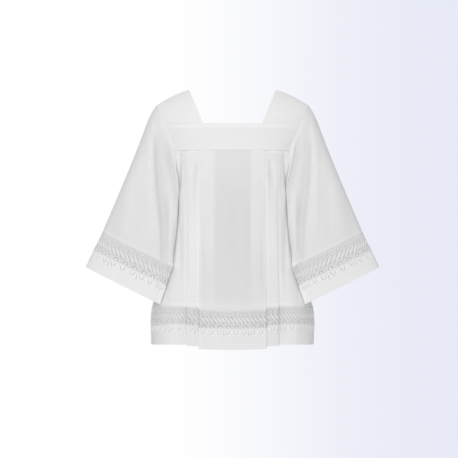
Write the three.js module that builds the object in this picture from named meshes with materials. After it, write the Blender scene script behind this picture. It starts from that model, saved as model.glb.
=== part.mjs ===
// Surplice, worn shape with nobody in it: a square-necked church overgarment with a yoke,
// pressed pleats front and back, wide bell sleeves, and an openwork insertion above every hem.
// Millimetres, +Z up. The wearer faces -Y, and +X is the wearer's left hand side.
// The origin lies between the two shoulder tops, where the wearer's shoulders carry the garment.
import * as THREE from "three";

// ---- driving dimensions ----
const WALL = 1.2; // cloth
const BAND_WALL = 0.9; // turned seam allowance that is topstitched on a panel
const SEAM_GAP = 0.4; // between two pieces at a seam, and under a band
const BAND_LIFT = WALL / 2 + SEAM_GAP + BAND_WALL / 2; // from a panel's middle to its band's

const NECK_DEPTH = 118.5; // shoulder top down to the square neckline
const NECK_HALF_BOTTOM = 95;
const NECK_HALF_TOP = 143.5;
const YOKE_BOTTOM = 205; // below the shoulder top, as every depth here
const ARMPIT = 345;
const SHOULDER_HALF = 250; // middle to shoulder point
const SHOULDER_DROP = 52;
const TOP_BAND = 16; // widths of the turned bands
const BOTTOM_BAND = 13;
const ARMHOLE_BAND = 11;

const BODY_LENGTH = 510; // yoke seam to the openwork
const LACE_WIDTH = 60;
const HEM_WIDTH = 64;
const LACE_TOP = BODY_LENGTH;
const LACE_BOTTOM = LACE_TOP + LACE_WIDTH;
const HEM_BOTTOM = LACE_BOTTOM + HEM_WIDTH;

// The trunk's cross sections: superellipses, from the neckline down to the hem.
const ROUNDNESS = 2.5;
const TRUNK = [
  { depth: NECK_DEPTH, halfWidth: 254, front: 110, back: 102 },
  { depth: YOKE_BOTTOM, halfWidth: 205, front: 113, back: 105 },
  { depth: ARMPIT, halfWidth: 188, front: 127, back: 117 },
  { depth: 460, halfWidth: 196, front: 145, back: 133 },
  { depth: 565, halfWidth: 215, front: 163, back: 149 },
  { depth: 719, halfWidth: 265, front: 183, back: 168 },
  { depth: 840, halfWidth: 267, front: 190, back: 175 },
];

// Pleats of one half, from the middle out. Both edges face the side, and each pleat turns back
// under itself to its inner fold.
const FIRST_EDGE = 104;
const FIRST_FOLD = 59; // where the pleat turns back out, under its panel
const SECOND_EDGE = 147;
const SECOND_FOLD = 112;
const LAYER_PITCH_TOP = 1.6; // from layer to layer where the pleats are sewn into the yoke
const LAYER_PITCH_HEM = 4.6;
const TURN_REACH = 0.9; // a fold's tip, in layer pitches

const ARMHOLE_ANGLE_TOP = 55.5; // degrees round the trunk, at the neckline
const ARMHOLE_ANGLE_YOKE = 62.3; // at the yoke's lower corner
const ARMHOLE_CURVE = 1.25; // how late the armhole turns in under the arm
const SIDE_ANGLE = 90;

// Openwork: slanting gaps between the leaves, one a repeat.
const REPEAT = 25.6;
const LACE_GAP = 9; // wide
const GAP_LEAN = 13; // sideways from its top to its bottom, the same way all round the cloth
const GAP_TOP = 20; // below the openwork's upper edge
const GAP_BOTTOM = 38;

// Right sleeve, where x is negative: its rings at the openwork and at the hem. outer and inner
// are the ends of a ring's long axis, and front and back are how far it bulges.
const SLEEVE_RINGS = [
  { name: "lace top", outer: [-423, -58, -471], inner: [-190, -106, -580], front: 40, back: 52 },
  { name: "lace bottom", outer: [-451, -64, -528], inner: [-211, -105, -640], front: 40, back: 54 },
  { name: "hem", outer: [-475, -68, -581], inner: [-230, -108, -700], front: 40, back: 56 },
];
const RING_POWER = 0.85; // below 1 the rings are fuller than ellipses
const SLEEVE_CLEARANCE = 5; // between the middles of the sleeve's and the body's walls
const CLEARANCE_SHARE = 0.12; // of the sleeve, in which it is reached
const SLEEVE_START = 2; // from the armhole's line out to the middle of the sleeve's first ring
const SLEEVE_LIFT = 1.5; // out of the trunk's form, at that ring
const SHOULDER_ROUND = 6.5; // how far the sleeve head swells outside the straight line
const SHOULDER_ROUND_AT = 0.11; // and where, as a share of the sleeve
const UNDERARM_SAG = 12; // the sleeve's lower edge hangs in towards the body

// The sleeve's cloth that hangs over the armhole's lower end: where round the ring its middle is,
// its spread, how far it comes in and forwards, how soon down the sleeve, how it fades towards
// the openwork, and its share behind.
const OVERHANG = { at: 0.43, spread: 0.085, inwards: 27, forwards: 26, soon: 9, fade: 0.6, behind: 0.3 };

// A soft trough that hangs straight down the sleeve: its half distance from the middle at two
// depths, how deep it is, and half its width.
const TROUGH = { topDepth: 70, topX: 254, footDepth: 570, footX: 221, deep: 10, half: 21 };

const cloth = new THREE.MeshStandardMaterial({ color: 0xededec, roughness: 0.85, metalness: 0 });
const seamCloth = new THREE.MeshStandardMaterial({ color: 0xf4f4f2, roughness: 0.85, metalness: 0 });
const lace = new THREE.MeshStandardMaterial({ color: 0xe2e3e6, roughness: 0.9, metalness: 0 });

// ---- small maths ----
const mix = (a, b, t) => a + (b - a) * t;
const mixPoint = (p, q, t) => p.clone().lerp(q, t);
const clamp01 = (t) => Math.min(1, Math.max(0, t));
const smooth = (t) => clamp01(t) ** 2 * (3 - 2 * clamp01(t));
const radians = (degrees) => (degrees * Math.PI) / 180;
const point = (x, y, z) => new THREE.Vector3(x, y, z);
const steps = (count) => Array.from({ length: count + 1 }, (_, i) => i / count);

// A table's column as a smooth function of another of its columns.
function tableCurve(table, along, column) {
  const slope = table.map((row, i) => {
    const before = table[Math.max(0, i - 1)];
    const after = table[Math.min(table.length - 1, i + 1)];
    return (after[column] - before[column]) / (after[along] - before[along]);
  });
  return (value) => {
    let i = table.findIndex((row) => row[along] > value) - 1;
    if (i === -2) i = table.length - 2;
    if (i < 0) i = 0;
    const [low, high] = [table[i], table[i + 1]];
    const span = high[along] - low[along];
    const t = clamp01((value - low[along]) / span);
    return (
      low[column] * (1 + 2 * t) * (1 - t) ** 2 +
      high[column] * t * t * (3 - 2 * t) +
      span * slope[i] * t * (1 - t) ** 2 -
      span * slope[i + 1] * t * t * (1 - t)
    );
  };
}

// ---- closed walls ----

// A closed wall round a grid of middle points. points[i][j] and normals[i][j] run down and along
// the cloth; a ring's last column joins its first. isGap(i, j) leaves a cell out.
function wallGeometry(points, normals, thickness, { ring = false, isGap = () => false } = {}) {
  const rows = points.length - 1;
  const columns = points[0].length - (ring ? 0 : 1);
  const across = points[0].length;
  const half = thickness / 2;
  const vertices = [];
  for (const side of [half, -half]) {
    points.forEach((line, i) =>
      line.forEach((p, j) => vertices.push(...p.clone().addScaledVector(normals[i][j], side).toArray())),
    );
  }
  const layer = points.length * across;
  const outer = (i, j) => i * across + (j % across);
  const inner = (i, j) => outer(i, j) + layer;
  const triangles = [];
  const quad = (a, b, c, d) => triangles.push(a, b, c, a, c, d);
  const at = (i, j) => points[i][j % across];
  const isShort = (i, j) =>
    at(i, j).distanceTo(at(i + 1, j + 1)) < at(i + 1, j).distanceTo(at(i, j + 1));
  const filled = (i, j) => {
    if (i < 0 || i >= rows) return false;
    if (!ring && (j < 0 || j >= columns)) return false;
    return !isGap(i, (j + columns) % columns);
  };
  for (let i = 0; i < rows; i++) {
    for (let j = 0; j < columns; j++) {
      if (!filled(i, j)) continue;
      if (isShort(i, j)) {
        quad(outer(i, j), outer(i + 1, j), outer(i + 1, j + 1), outer(i, j + 1));
        quad(inner(i, j), inner(i, j + 1), inner(i + 1, j + 1), inner(i + 1, j));
      } else {
        quad(outer(i + 1, j), outer(i + 1, j + 1), outer(i, j + 1), outer(i, j));
        quad(inner(i, j + 1), inner(i + 1, j + 1), inner(i + 1, j), inner(i, j));
      }
      if (!filled(i - 1, j)) quad(outer(i, j), outer(i, j + 1), inner(i, j + 1), inner(i, j));
      if (!filled(i + 1, j)) {
        quad(outer(i + 1, j + 1), outer(i + 1, j), inner(i + 1, j), inner(i + 1, j + 1));
      }
      if (!filled(i, j - 1)) quad(outer(i + 1, j), outer(i, j), inner(i, j), inner(i + 1, j));
      if (!filled(i, j + 1)) {
        quad(outer(i, j + 1), outer(i + 1, j + 1), inner(i + 1, j + 1), inner(i, j + 1));
      }
    }
  }
  return facingOut(vertices, triangles);
}

// The same triangles turned so that the solid's volume is positive.
function facingOut(vertices, triangles) {
  const corner = (k) => new THREE.Vector3().fromArray(vertices, 3 * triangles[k]);
  let volume = 0;
  for (let k = 0; k < triangles.length; k += 3) {
    volume += corner(k).dot(corner(k + 1).cross(corner(k + 2)));
  }
  if (volume < 0) {
    for (let k = 0; k < triangles.length; k += 3) {
      [triangles[k + 1], triangles[k + 2]] = [triangles[k + 2], triangles[k + 1]];
    }
  }
  return new THREE.BufferGeometry()
    .setAttribute("position", new THREE.Float32BufferAttribute(vertices, 3))
    .setIndex(triangles);
}

// Level normals of a hanging wall, from each row's own run.
function levelNormals(points) {
  return points.map((line) =>
    line.map((_, j) => {
      const run = line[Math.min(j + 1, line.length - 1)].clone().sub(line[Math.max(j - 1, 0)]);
      return point(run.y, -run.x, 0).normalize();
    }),
  );
}

// Normals of any grid, from its neighbours down and along.
function gridNormals(points, ring = false) {
  const last = points.length - 1;
  return points.map((line, i) =>
    line.map((_, j) => {
      const n = line.length;
      const next = ring ? (j + 1) % n : Math.min(j + 1, n - 1);
      const previous = ring ? (j + n - 1) % n : Math.max(j - 1, 0);
      const along = line[next].clone().sub(line[previous]);
      const down = points[Math.min(i + 1, last)][j].clone().sub(points[Math.max(i - 1, 0)][j]);
      return along.cross(down).normalize();
    }),
  );
}

// A grid with normals that point away from the middle of the chest.
function outwardGrid(points, normals) {
  const inside = point(0, 0, -YOKE_BOTTOM);
  const outwards = normals.map((line, i) =>
    line.map((n, j) => (n.dot(points[i][j].clone().sub(inside)) < 0 ? n.clone().negate() : n)),
  );
  return { points, normals: outwards };
}

// A band's wall, on a panel's own points moved out.
function bandGeometry(points, normals) {
  const lifted = points.map((line, i) =>
    line.map((p, j) => p.clone().addScaledVector(normals[i][j], BAND_LIFT)),
  );
  return wallGeometry(lifted, normals, BAND_WALL);
}

// ---- trunk ----
const halfWidthAt = tableCurve(TRUNK, "depth", "halfWidth");
const depthAt = { "-1": tableCurve(TRUNK, "depth", "front"), 1: tableCurve(TRUNK, "depth", "back") };

// A point of the trunk's outer form: degrees from the middle of the front or back, and depth.
// face is -1 in front and 1 behind.
function trunkPoint(face, angle, depth) {
  const bend = 2 / ROUNDNESS;
  const sine = Math.sin(radians(angle));
  const x = halfWidthAt(depth) * Math.sign(sine) * Math.abs(sine) ** bend;
  const y = face * depthAt[face](depth) * Math.max(0, Math.cos(radians(angle))) ** bend;
  return point(x, y, -depth);
}

// The form's inward normal at a point, and the level direction away from the middle.
function trunkFrame(face, angle, depth) {
  const before = trunkPoint(face, Math.max(angle - 0.5, 0), depth);
  const tangent = trunkPoint(face, Math.min(angle + 0.5, 90), depth).sub(before).normalize();
  return { tangent, inward: point(face * tangent.y, -face * tangent.x, 0) };
}

const angleAt = (x, depth) => (Math.asin((x / halfWidthAt(depth)) ** (ROUNDNESS / 2)) * 180) / Math.PI;

// The armhole below the yoke, from the yoke's corner at share 0 to the armpit at share 1.
const armholeCut = (share) => ({
  angle: mix(ARMHOLE_ANGLE_YOKE, SIDE_ANGLE, share ** ARMHOLE_CURVE),
  depth: mix(YOKE_BOTTOM, ARMPIT, Math.sin(radians(90 * share))),
});
const yokeArmholeAngle = (depth) =>
  mix(ARMHOLE_ANGLE_TOP, ARMHOLE_ANGLE_YOKE, (depth - NECK_DEPTH) / (YOKE_BOTTOM - NECK_DEPTH));

const layerPitch = (level) => mix(LAYER_PITCH_TOP, LAYER_PITCH_HEM, clamp01(level / HEM_BOTTOM));

// A column of cloth from the yoke or the armhole down. It keeps at x from the middle, or goes
// from top to foot, which are shares of the way from the second pleat's edge round to the side
// seam. layer counts inwards, rise is how much shorter than the middle it hangs at the hem, and
// armhole is where it starts on the armhole's line. level is 0 at the yoke seam.
function clothColumn(face, { x, top, foot, armhole, rise, layer = 0 }) {
  const cut = armhole === undefined ? { depth: YOKE_BOTTOM } : armholeCut(armhole);
  const edgeAngle = (depth) => angleAt(SECOND_EDGE, depth);
  const topShare = top ?? (cut.angle - edgeAngle(cut.depth)) / (SIDE_ANGLE - edgeAngle(cut.depth));
  const start = cut.depth - YOKE_BOTTOM;
  const at = (level) => {
    const depth = YOKE_BOTTOM + level - (rise * level) / HEM_BOTTOM;
    const down = clamp01((level - start) / (LACE_TOP - start));
    const share = mix(topShare, foot, down);
    const angle = x === undefined ? mix(edgeAngle(depth), SIDE_ANGLE, share) : angleAt(x, depth);
    const { inward } = trunkFrame(face, angle, depth);
    return trunkPoint(face, angle, depth).addScaledVector(inward, layer * layerPitch(level));
  };
  return { start, at };
}

// One half of a pleated section, from the middle out to the side seam: stretches of cloth with
// the folds between them, each from one fold to the next. Cloth that lies in layers bends at the
// same distances from the middle.
const FIRST_MIDDLE = (FIRST_EDGE + FIRST_FOLD) / 2;
const SECOND_MIDDLE = (SECOND_EDGE + SECOND_FOLD) / 2;
const flatColumns = (layer, rows) => rows.map(([x, rise]) => ({ x, layer, rise }));
const STRETCHES = [
  {
    repeats: 4,
    turn: 1,
    columns: flatColumns(0, [[0, 0], [30, 0.5], [FIRST_FOLD, 1], [FIRST_MIDDLE, 1.5], [FIRST_EDGE, 2]]),
  },
  {
    repeats: 1,
    turn: -1,
    columns: flatColumns(1, [[FIRST_EDGE, 2], [FIRST_MIDDLE, 3.5], [FIRST_FOLD, 5]]),
  },
  {
    repeats: 3,
    turn: 1,
    columns: [
      ...flatColumns(2, [[FIRST_FOLD, 5], [FIRST_MIDDLE, 7], [FIRST_EDGE, 9]]),
      ...flatColumns(2, [[SECOND_FOLD, 9.5], [SECOND_MIDDLE, 10], [SECOND_EDGE, 11]]),
    ],
  },
  {
    repeats: 1,
    turn: -1,
    columns: flatColumns(3, [[SECOND_EDGE, 11], [SECOND_MIDDLE, 11.5], [SECOND_FOLD, 12]]),
  },
  {
    repeats: 11,
    turn: 0,
    columns: [
      ...flatColumns(4, [[SECOND_FOLD, 12], [SECOND_MIDDLE, 12.5], [SECOND_EDGE, 13]]),
      { top: 0.04, foot: 0.036, layer: 4, rise: 13 },
      { top: 0.15, foot: 0.09, layer: 2.7, rise: 13 },
      { top: 0.29, foot: 0.17, layer: 1.1, rise: 13 },
      { armhole: 0, foot: 0.27, rise: 12.5 },
      { armhole: 0.2, foot: 0.36, rise: 11.5 },
      { armhole: 0.4, foot: 0.48, rise: 9.5 },
      { armhole: 0.6, foot: 0.62, rise: 7 },
      { armhole: 0.8, foot: 0.8, rise: 5 },
      { armhole: 1, foot: 1, rise: 3 },
    ],
  },
];

const columnsOf = (face, stretch) => stretch.columns.map((column) => clothColumn(face, column));

// The tip of the fold at the end of a stretch, as a column.
function foldColumn(face, stretch) {
  const { x, layer, rise } = stretch.columns.at(-1);
  const at = (level) => {
    const depth = YOKE_BOTTOM + level - (rise * level) / HEM_BOTTOM;
    const angle = angleAt(x, depth);
    const { inward, tangent } = trunkFrame(face, angle, depth);
    const pitch = layerPitch(level);
    return trunkPoint(face, angle, depth)
      .addScaledVector(inward, (layer + 0.5) * pitch)
      .addScaledVector(tangent, stretch.turn * TURN_REACH * pitch);
  };
  return { start: 0, at };
}

// The point of a stretch at a share of its length, on the straight line between two columns.
function pointBetween(face, stretch, share, level) {
  const line = columnsOf(face, stretch).map((column) => column.at(level));
  const lengths = line.slice(1).map((p, k) => p.distanceTo(line[k]));
  let left = share * lengths.reduce((sum, length) => sum + length, 0);
  let k = 0;
  while (k < lengths.length - 1 && left > lengths[k]) left -= lengths[k++];
  return mixPoint(line[k], line[k + 1], left / lengths[k]);
}

const mirrorX = (p) => point(-p.x, p.y, p.z);

// One half's columns and their mirror images: side seam to side seam.
const bothHalves = (half, mirrorColumn) => [...half.slice(1).reverse().map(mirrorColumn), ...half];

// Side seams stand half a gap off the middle plane.
function offSideSeam(face, p) {
  const off = SEAM_GAP / 2;
  return Math.abs(p.y) < off ? point(p.x, face * off, p.z) : p;
}

const BODY_SHARES = [0, 0.1, 0.24, 0.42, 0.62, 0.82, 1];

// The body's columns, folds included, from the middle out.
function pleatedHalf(face) {
  return STRETCHES.flatMap((stretch) => [
    ...columnsOf(face, stretch),
    ...(stretch.turn ? [foldColumn(face, stretch)] : []),
  ]);
}

function pleatedPanel(face, from, to, shares) {
  const points = shares.map((v) => {
    const half = pleatedHalf(face).map((column) => {
      const level = mix(Math.max(from, column.start + SEAM_GAP / 2), to, v);
      return offSideSeam(face, column.at(level));
    });
    return bothHalves(half, mirrorX);
  });
  return wallGeometry(points, levelNormals(points), WALL);
}

const bodyPanel = (face) => pleatedPanel(face, 0, LACE_TOP - SEAM_GAP / 2, BODY_SHARES);
const hemPanel = (face) => pleatedPanel(face, LACE_BOTTOM + SEAM_GAP / 2, HEM_BOTTOM, [0, 1]);

// Edges of the gaps along a run of whole repeats. side is -1 or 1 on a gap's two edges.
function gapEdges(repeats) {
  const margin = (REPEAT - LACE_GAP) / 2 / REPEAT;
  const edges = Array.from({ length: repeats }, (_, k) => [
    { share: (k + margin) / repeats, side: -1 },
    { share: (k + 1 - margin) / repeats, side: 1 },
  ]);
  return [{ share: 0, side: 0 }, ...edges.flat(), { share: 1, side: 0 }];
}

// Rows of an openwork band, and how far a gap leans there.
const LACE_ROWS = [
  { down: SEAM_GAP / 2, lean: -0.5 },
  { down: GAP_TOP, lean: -0.5 },
  { down: GAP_BOTTOM, lean: 0.5 },
  { down: LACE_WIDTH - SEAM_GAP / 2, lean: 0.5 },
];
const GAP_ROW = 1;

// Openwork of a front or back. Gaps lean, so their edges shift sideways from row to row, away
// from the middle on one half and towards it on the other.
function lacePanel(face) {
  const edges = STRETCHES.map((stretch) => ({ stretch, columns: gapEdges(stretch.repeats) }));
  const halfRow = ({ down, lean }, way) =>
    edges.flatMap(({ stretch, columns }) => [
      ...columns.map(({ share, side }) => {
        const shift = side ? (way * lean * GAP_LEAN) / (REPEAT * stretch.repeats) : 0;
        return offSideSeam(face, pointBetween(face, stretch, share + shift, LACE_TOP + down));
      }),
      ...(stretch.turn ? [foldColumn(face, stretch).at(LACE_TOP + down)] : []),
    ]);
  const points = LACE_ROWS.map((row) => [
    ...halfRow(row, face).slice(1).reverse().map(mirrorX),
    ...halfRow(row, -face),
  ]);
  const sides = edges.flatMap(({ stretch, columns }) => [
    ...columns.map(({ side }) => side),
    ...(stretch.turn ? [0] : []),
  ]);
  const allSides = bothHalves(sides, (side) => -side);
  return wallGeometry(points, levelNormals(points), WALL, {
    isGap: (i, j) => i === GAP_ROW && allSides[j] === -1,
  });
}

// ---- yoke, shoulder straps and their bands ----

// The angle that lies width millimetres nearer the middle than an angle at the same depth.
function angleInside(angle, depth, width) {
  const perDegree = trunkPoint(-1, angle, depth).distanceTo(trunkPoint(-1, angle - 1, depth));
  return angle - width / perDegree;
}

const YOKE_DEPTHS = [
  NECK_DEPTH + SEAM_GAP / 2,
  NECK_DEPTH + TOP_BAND,
  YOKE_BOTTOM - BOTTOM_BAND,
  YOKE_BOTTOM - SEAM_GAP / 2,
];
const YOKE_CELLS = 12; // between the two armhole bands

// The yoke's angles at a depth: its edge, both sides of the armhole band's edge, then even steps.
function yokeAngles(depth) {
  const edge = yokeArmholeAngle(depth);
  const band = angleInside(edge, depth, ARMHOLE_BAND);
  const inside = angleInside(edge, depth, ARMHOLE_BAND + SEAM_GAP);
  return [-edge, -band, ...steps(YOKE_CELLS).map((t) => mix(-inside, inside, t)), band, edge];
}

// The yoke's points, which run anticlockwise round the body as seen from above.
function yokeGrid(face) {
  const points = YOKE_DEPTHS.map((depth) =>
    yokeAngles(depth).map((angle) => trunkPoint(face, -face * angle, depth)),
  );
  return outwardGrid(points, levelNormals(points));
}

function yokePanel(face) {
  const { points, normals } = yokeGrid(face);
  return wallGeometry(points, normals, WALL);
}

// A band on the yoke between two rows of its own points, from armhole band to armhole band.
function yokeBand(face, row) {
  const { points, normals } = yokeGrid(face);
  const part = (grid) => grid.slice(row, row + 2).map((line) => line.slice(2, -2));
  return bandGeometry(part(points), part(normals));
}

// The neck's edge and the armhole's edge over the shoulder: turn 0 at the seam with the front
// yoke, 90 on the shoulder's top, 180 at the back yoke.
function neckEdge(turn) {
  const up = Math.sin(radians(turn));
  const face = turn <= 90 ? -1 : 1;
  const seam = trunkPoint(face, angleAt(NECK_HALF_BOTTOM, NECK_DEPTH), NECK_DEPTH);
  const x = -mix(NECK_HALF_BOTTOM, NECK_HALF_TOP, up);
  return point(x, seam.y * Math.abs(Math.cos(radians(turn))), -NECK_DEPTH * (1 - up));
}

function shoulderEdge(turn) {
  const up = Math.sin(radians(turn));
  const face = turn <= 90 ? -1 : 1;
  const seam = trunkPoint(face, ARMHOLE_ANGLE_TOP, NECK_DEPTH);
  const x = -mix(seam.x, SHOULDER_HALF, up);
  return point(x, seam.y * Math.abs(Math.cos(radians(turn))), -mix(NECK_DEPTH, SHOULDER_DROP, up));
}

const RIDGE_BOW = 5; // the shoulder's top swells above a straight line

// A point of the right strap: share 0 at the neck and 1 at the armhole.
function strapPoint(share, turn) {
  const face = turn <= 90 ? -1 : 1;
  const straight = mixPoint(neckEdge(turn), shoulderEdge(turn), share);
  const seamTurn = turn <= 90 ? 0 : 180;
  const seamStraight = mixPoint(neckEdge(seamTurn), shoulderEdge(seamTurn), share);
  const seam = trunkPoint(face, angleAt(Math.abs(seamStraight.x), NECK_DEPTH), NECK_DEPTH);
  const across = Math.cos(radians(turn)) ** 2;
  const bow = RIDGE_BOW * 4 * share * (1 - share) * (1 - across);
  return straight.add(point(0, (seam.y - seamStraight.y) * across, bow));
}

const STRAP_TURN_GAP = 0.12; // degrees that open the gap at the yoke seams
const STRAP_TURNS = steps(12).map((t) => mix(STRAP_TURN_GAP, 180 - STRAP_TURN_GAP, t));
const STRAP_CELLS = 4; // neck to the armhole band

// The strap's grid, with a column on the armhole band's inner edge.
function strapGrid() {
  const points = STRAP_TURNS.map((turn) => {
    const band = 1 - ARMHOLE_BAND / shoulderEdge(turn).distanceTo(neckEdge(turn));
    return [...steps(STRAP_CELLS).map((t) => strapPoint(band * t, turn)), strapPoint(1, turn)];
  });
  return outwardGrid(points, gridNormals(points));
}

function strapPanel() {
  const { points, normals } = strapGrid();
  return wallGeometry(points, normals, WALL);
}

// The band on the armhole's edge: up the front yoke, over the strap and down the back yoke.
function armholeBand() {
  const [front, strap, back] = [yokeGrid(-1), strapGrid(), yokeGrid(1)];
  const joined = (part) => [
    ...front[part].map((line) => line.slice(0, 2).reverse()).reverse(),
    ...strap[part].map((line) => line.slice(STRAP_CELLS)),
    ...back[part].map((line) => line.slice(-2)),
  ];
  return bandGeometry(joined("points"), joined("normals"));
}

// ---- sleeve ----

// The armhole's line on one face, from the shoulder point down to the armpit.
function armholeLine(face) {
  const strap = steps(6).map((t) => shoulderEdge(90 + face * 90 * t));
  const yoke = steps(4)
    .slice(1)
    .map((t) => {
      const depth = mix(NECK_DEPTH, YOKE_BOTTOM, t);
      return trunkPoint(face, -yokeArmholeAngle(depth), depth);
    });
  const body = steps(8)
    .slice(1)
    .map((share) => {
      const cut = armholeCut(share);
      return trunkPoint(face, -cut.angle, cut.depth);
    });
  return new THREE.CatmullRomCurve3([...strap, ...yoke, ...body]);
}
const ARMHOLE_LINES = { "-1": armholeLine(-1), 1: armholeLine(1) };

// The sleeve's first ring. around runs from 0 on the outer edge, over the front, to 0.5 under
// the arm and back to 1.
function sleeveStart(around) {
  const face = around <= 0.5 ? -1 : 1;
  const p = ARMHOLE_LINES[face].getPointAt(clamp01(1 - Math.abs(1 - 2 * around)));
  return p.add(point(-SLEEVE_START, 0, 0));
}

function ringPoint(ring, around) {
  const [outer, inner] = [point(...ring.outer), point(...ring.inner)];
  const turn = 2 * Math.PI * around;
  const middle = mixPoint(outer, inner, (1 - Math.cos(turn)) / 2);
  const bulge = Math.sin(turn) > 0 ? -ring.front : ring.back;
  return middle.add(point(0, bulge * Math.abs(Math.sin(turn)) ** RING_POWER, 0));
}

// Moves a point out of the trunk, so that the sleeve hangs just clear of the body.
function clearOfTrunk(p, share) {
  const depth = -p.z;
  if (depth < NECK_DEPTH) return p;
  const face = p.y < 0 ? -1 : 1;
  const [a, b] = [halfWidthAt(depth), depthAt[face](depth)];
  const reach = ((Math.abs(p.x) / a) ** ROUNDNESS + (Math.abs(p.y) / b) ** ROUNDNESS) ** (1 / ROUNDNESS);
  const clearance = mix(SLEEVE_LIFT, SLEEVE_CLEARANCE, smooth(share / CLEARANCE_SHARE));
  const below = smooth((depth - NECK_DEPTH) / (YOKE_BOTTOM - NECK_DEPTH));
  const scale = Math.max(1, (1 + (below * clearance) / b) / reach);
  return point(p.x * scale, p.y * scale, p.z);
}

function troughDepth(p) {
  const down = (-p.z - TROUGH.topDepth) / (TROUGH.footDepth - TROUGH.topDepth);
  const middle = mix(TROUGH.topX, TROUGH.footX, down);
  const fade = smooth(down * 4) * smooth((1 - down) * 3);
  return TROUGH.deep * fade * Math.exp(-(((Math.abs(p.x) - middle) / TROUGH.half) ** 2));
}

// The sleeve's overhang at a point: in towards the middle, and forwards or back.
function overhang(around, share) {
  const near = (middle) => Math.exp(-(((around - middle) / OVERHANG.spread) ** 2));
  const [front, back] = [near(OVERHANG.at), OVERHANG.behind * near(1 - OVERHANG.at)];
  const down = smooth(share * OVERHANG.soon) * (1 - share) ** OVERHANG.fade;
  return point(OVERHANG.inwards * (front + back) * down, OVERHANG.forwards * (back - front) * down, 0);
}

// A point of the right sleeve's cloth: share 0 at the armhole and 1 at the openwork.
function sleevePoint(around, share) {
  const p = mixPoint(sleeveStart(around), ringPoint(SLEEVE_RINGS[0], around), share);
  const turn = 2 * Math.PI * around;
  const onTop = Math.max(0, Math.cos(turn)) ** 2;
  const under = Math.max(0, -Math.cos(turn)) ** 6;
  const swell = (share / SHOULDER_ROUND_AT) * Math.exp(1 - share / SHOULDER_ROUND_AT);
  p.x -= SHOULDER_ROUND * swell * onTop;
  p.x += UNDERARM_SAG * under * Math.sin(Math.PI * share) ** 2;
  p.add(overhang(around, share));
  const face = around < 0.5 ? -1 : 1;
  const away = Math.abs(Math.sin(turn)) ** 0.5;
  p.y -= face * away * troughDepth(p);
  return clearOfTrunk(p, share);
}

// A point of the openwork (ring 0 to 1) or of the sleeve's hem (ring 1 to 2).
function cuffPoint(around, ring, share) {
  const [upper, lower] = [SLEEVE_RINGS[ring], SLEEVE_RINGS[ring + 1]];
  const p = mixPoint(ringPoint(upper, around), ringPoint(lower, around), share);
  return clearOfTrunk(p, 1);
}

const SLEEVE_COLUMNS = 32;
const SLEEVE_SHARES = [0, 0.035, 0.09, 0.16, 0.26, 0.38, 0.52, 0.66, 0.82, 1];
const ringPlaces = Array.from({ length: SLEEVE_COLUMNS }, (_, j) => j / SLEEVE_COLUMNS);

// A ring with its points under the arm spread out evenly, so that the cloth turns there softly.
function relaxed(ring, share) {
  const strength = 0.5 * smooth(share * 12) * smooth((1 - share) * 5);
  return ring.map((p, j) => {
    const under = Math.max(0, -Math.cos(2 * Math.PI * ringPlaces[j]));
    const middle = mixPoint(ring.at(j - 1), ring[(j + 1) % ring.length], 0.5);
    return clearOfTrunk(mixPoint(p, middle, strength * under), share);
  });
}

const RELAXED_TIMES = 5;

// A point moved half a seam's gap towards its neighbour.
const movedTo = (p, neighbour) => mixPoint(p, neighbour, SEAM_GAP / 2 / p.distanceTo(neighbour));

// The sleeve's front (first 0) or back (first 0.5), between its top edge and the underarm.
function sleevePart(first) {
  const points = SLEEVE_SHARES.map((share) => {
    let ring = ringPlaces.map((around) => {
      const length = sleeveStart(around).distanceTo(ringPoint(SLEEVE_RINGS[0], around));
      return sleevePoint(around, share * (1 - SEAM_GAP / 2 / length));
    });
    for (let time = 0; time < RELAXED_TIMES; time++) ring = relaxed(ring, share);
    return ring;
  });
  const begin = first * SLEEVE_COLUMNS;
  const part = (line) => [...line, line[0]].slice(begin, begin + SLEEVE_COLUMNS / 2 + 1);
  const opened = points.map(part).map((line) => [
    movedTo(line[0], line[1]),
    ...line.slice(1, -1),
    movedTo(line.at(-1), line.at(-2)),
  ]);
  return wallGeometry(opened, gridNormals(points, true).map(part), WALL);
}

function sleeveHem() {
  const shares = [SEAM_GAP / HEM_WIDTH, 1];
  const points = shares.map((share) => ringPlaces.map((around) => cuffPoint(around, 1, share)));
  return wallGeometry(points, gridNormals(points, true), WALL, { ring: true });
}

const SLEEVE_REPEATS = 12; // on each face

// A point of the openwork on the straight line between two columns of the sleeve.
function cuffBetween(around, share) {
  const place = around * SLEEVE_COLUMNS;
  const first = Math.min(Math.floor(place), SLEEVE_COLUMNS - 1);
  const ends = [first, first + 1].map((k) => cuffPoint(k / SLEEVE_COLUMNS, 0, share));
  return mixPoint(ends[0], ends[1], place - first);
}

// Openwork of the sleeve's front (first 0) or back (first 0.5).
function sleeveLace(first) {
  const columns = gapEdges(SLEEVE_REPEATS);
  const end = 0.0007; // of the ring, which opens the seams at both edges of the sleeve
  const leanSign = first ? -1 : 1;
  const points = LACE_ROWS.map(({ down, lean }) =>
    columns.map(({ share, side }) => {
      const shift = side ? (leanSign * lean * GAP_LEAN) / (REPEAT * SLEEVE_REPEATS) : 0;
      return cuffBetween(first + mix(end, 0.5 - end, share + shift), down / LACE_WIDTH);
    }),
  );
  return wallGeometry(points, gridNormals(points), WALL, {
    isGap: (i, j) => i === GAP_ROW && columns[j].side === -1,
  });
}

// ---- the garment ----
const surplice = new THREE.Group();

function add(name, geometry, material) {
  const mesh = new THREE.Mesh(geometry, material);
  mesh.name = name;
  surplice.add(mesh);
}

// The same geometry for the other side of the body, with its faces turned back out.
function mirroredGeometry(geometry) {
  const positions = Array.from(geometry.getAttribute("position").array, (value, k) =>
    k % 3 === 0 ? -value : value,
  );
  return facingOut(positions, Array.from(geometry.getIndex().array));
}

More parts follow.
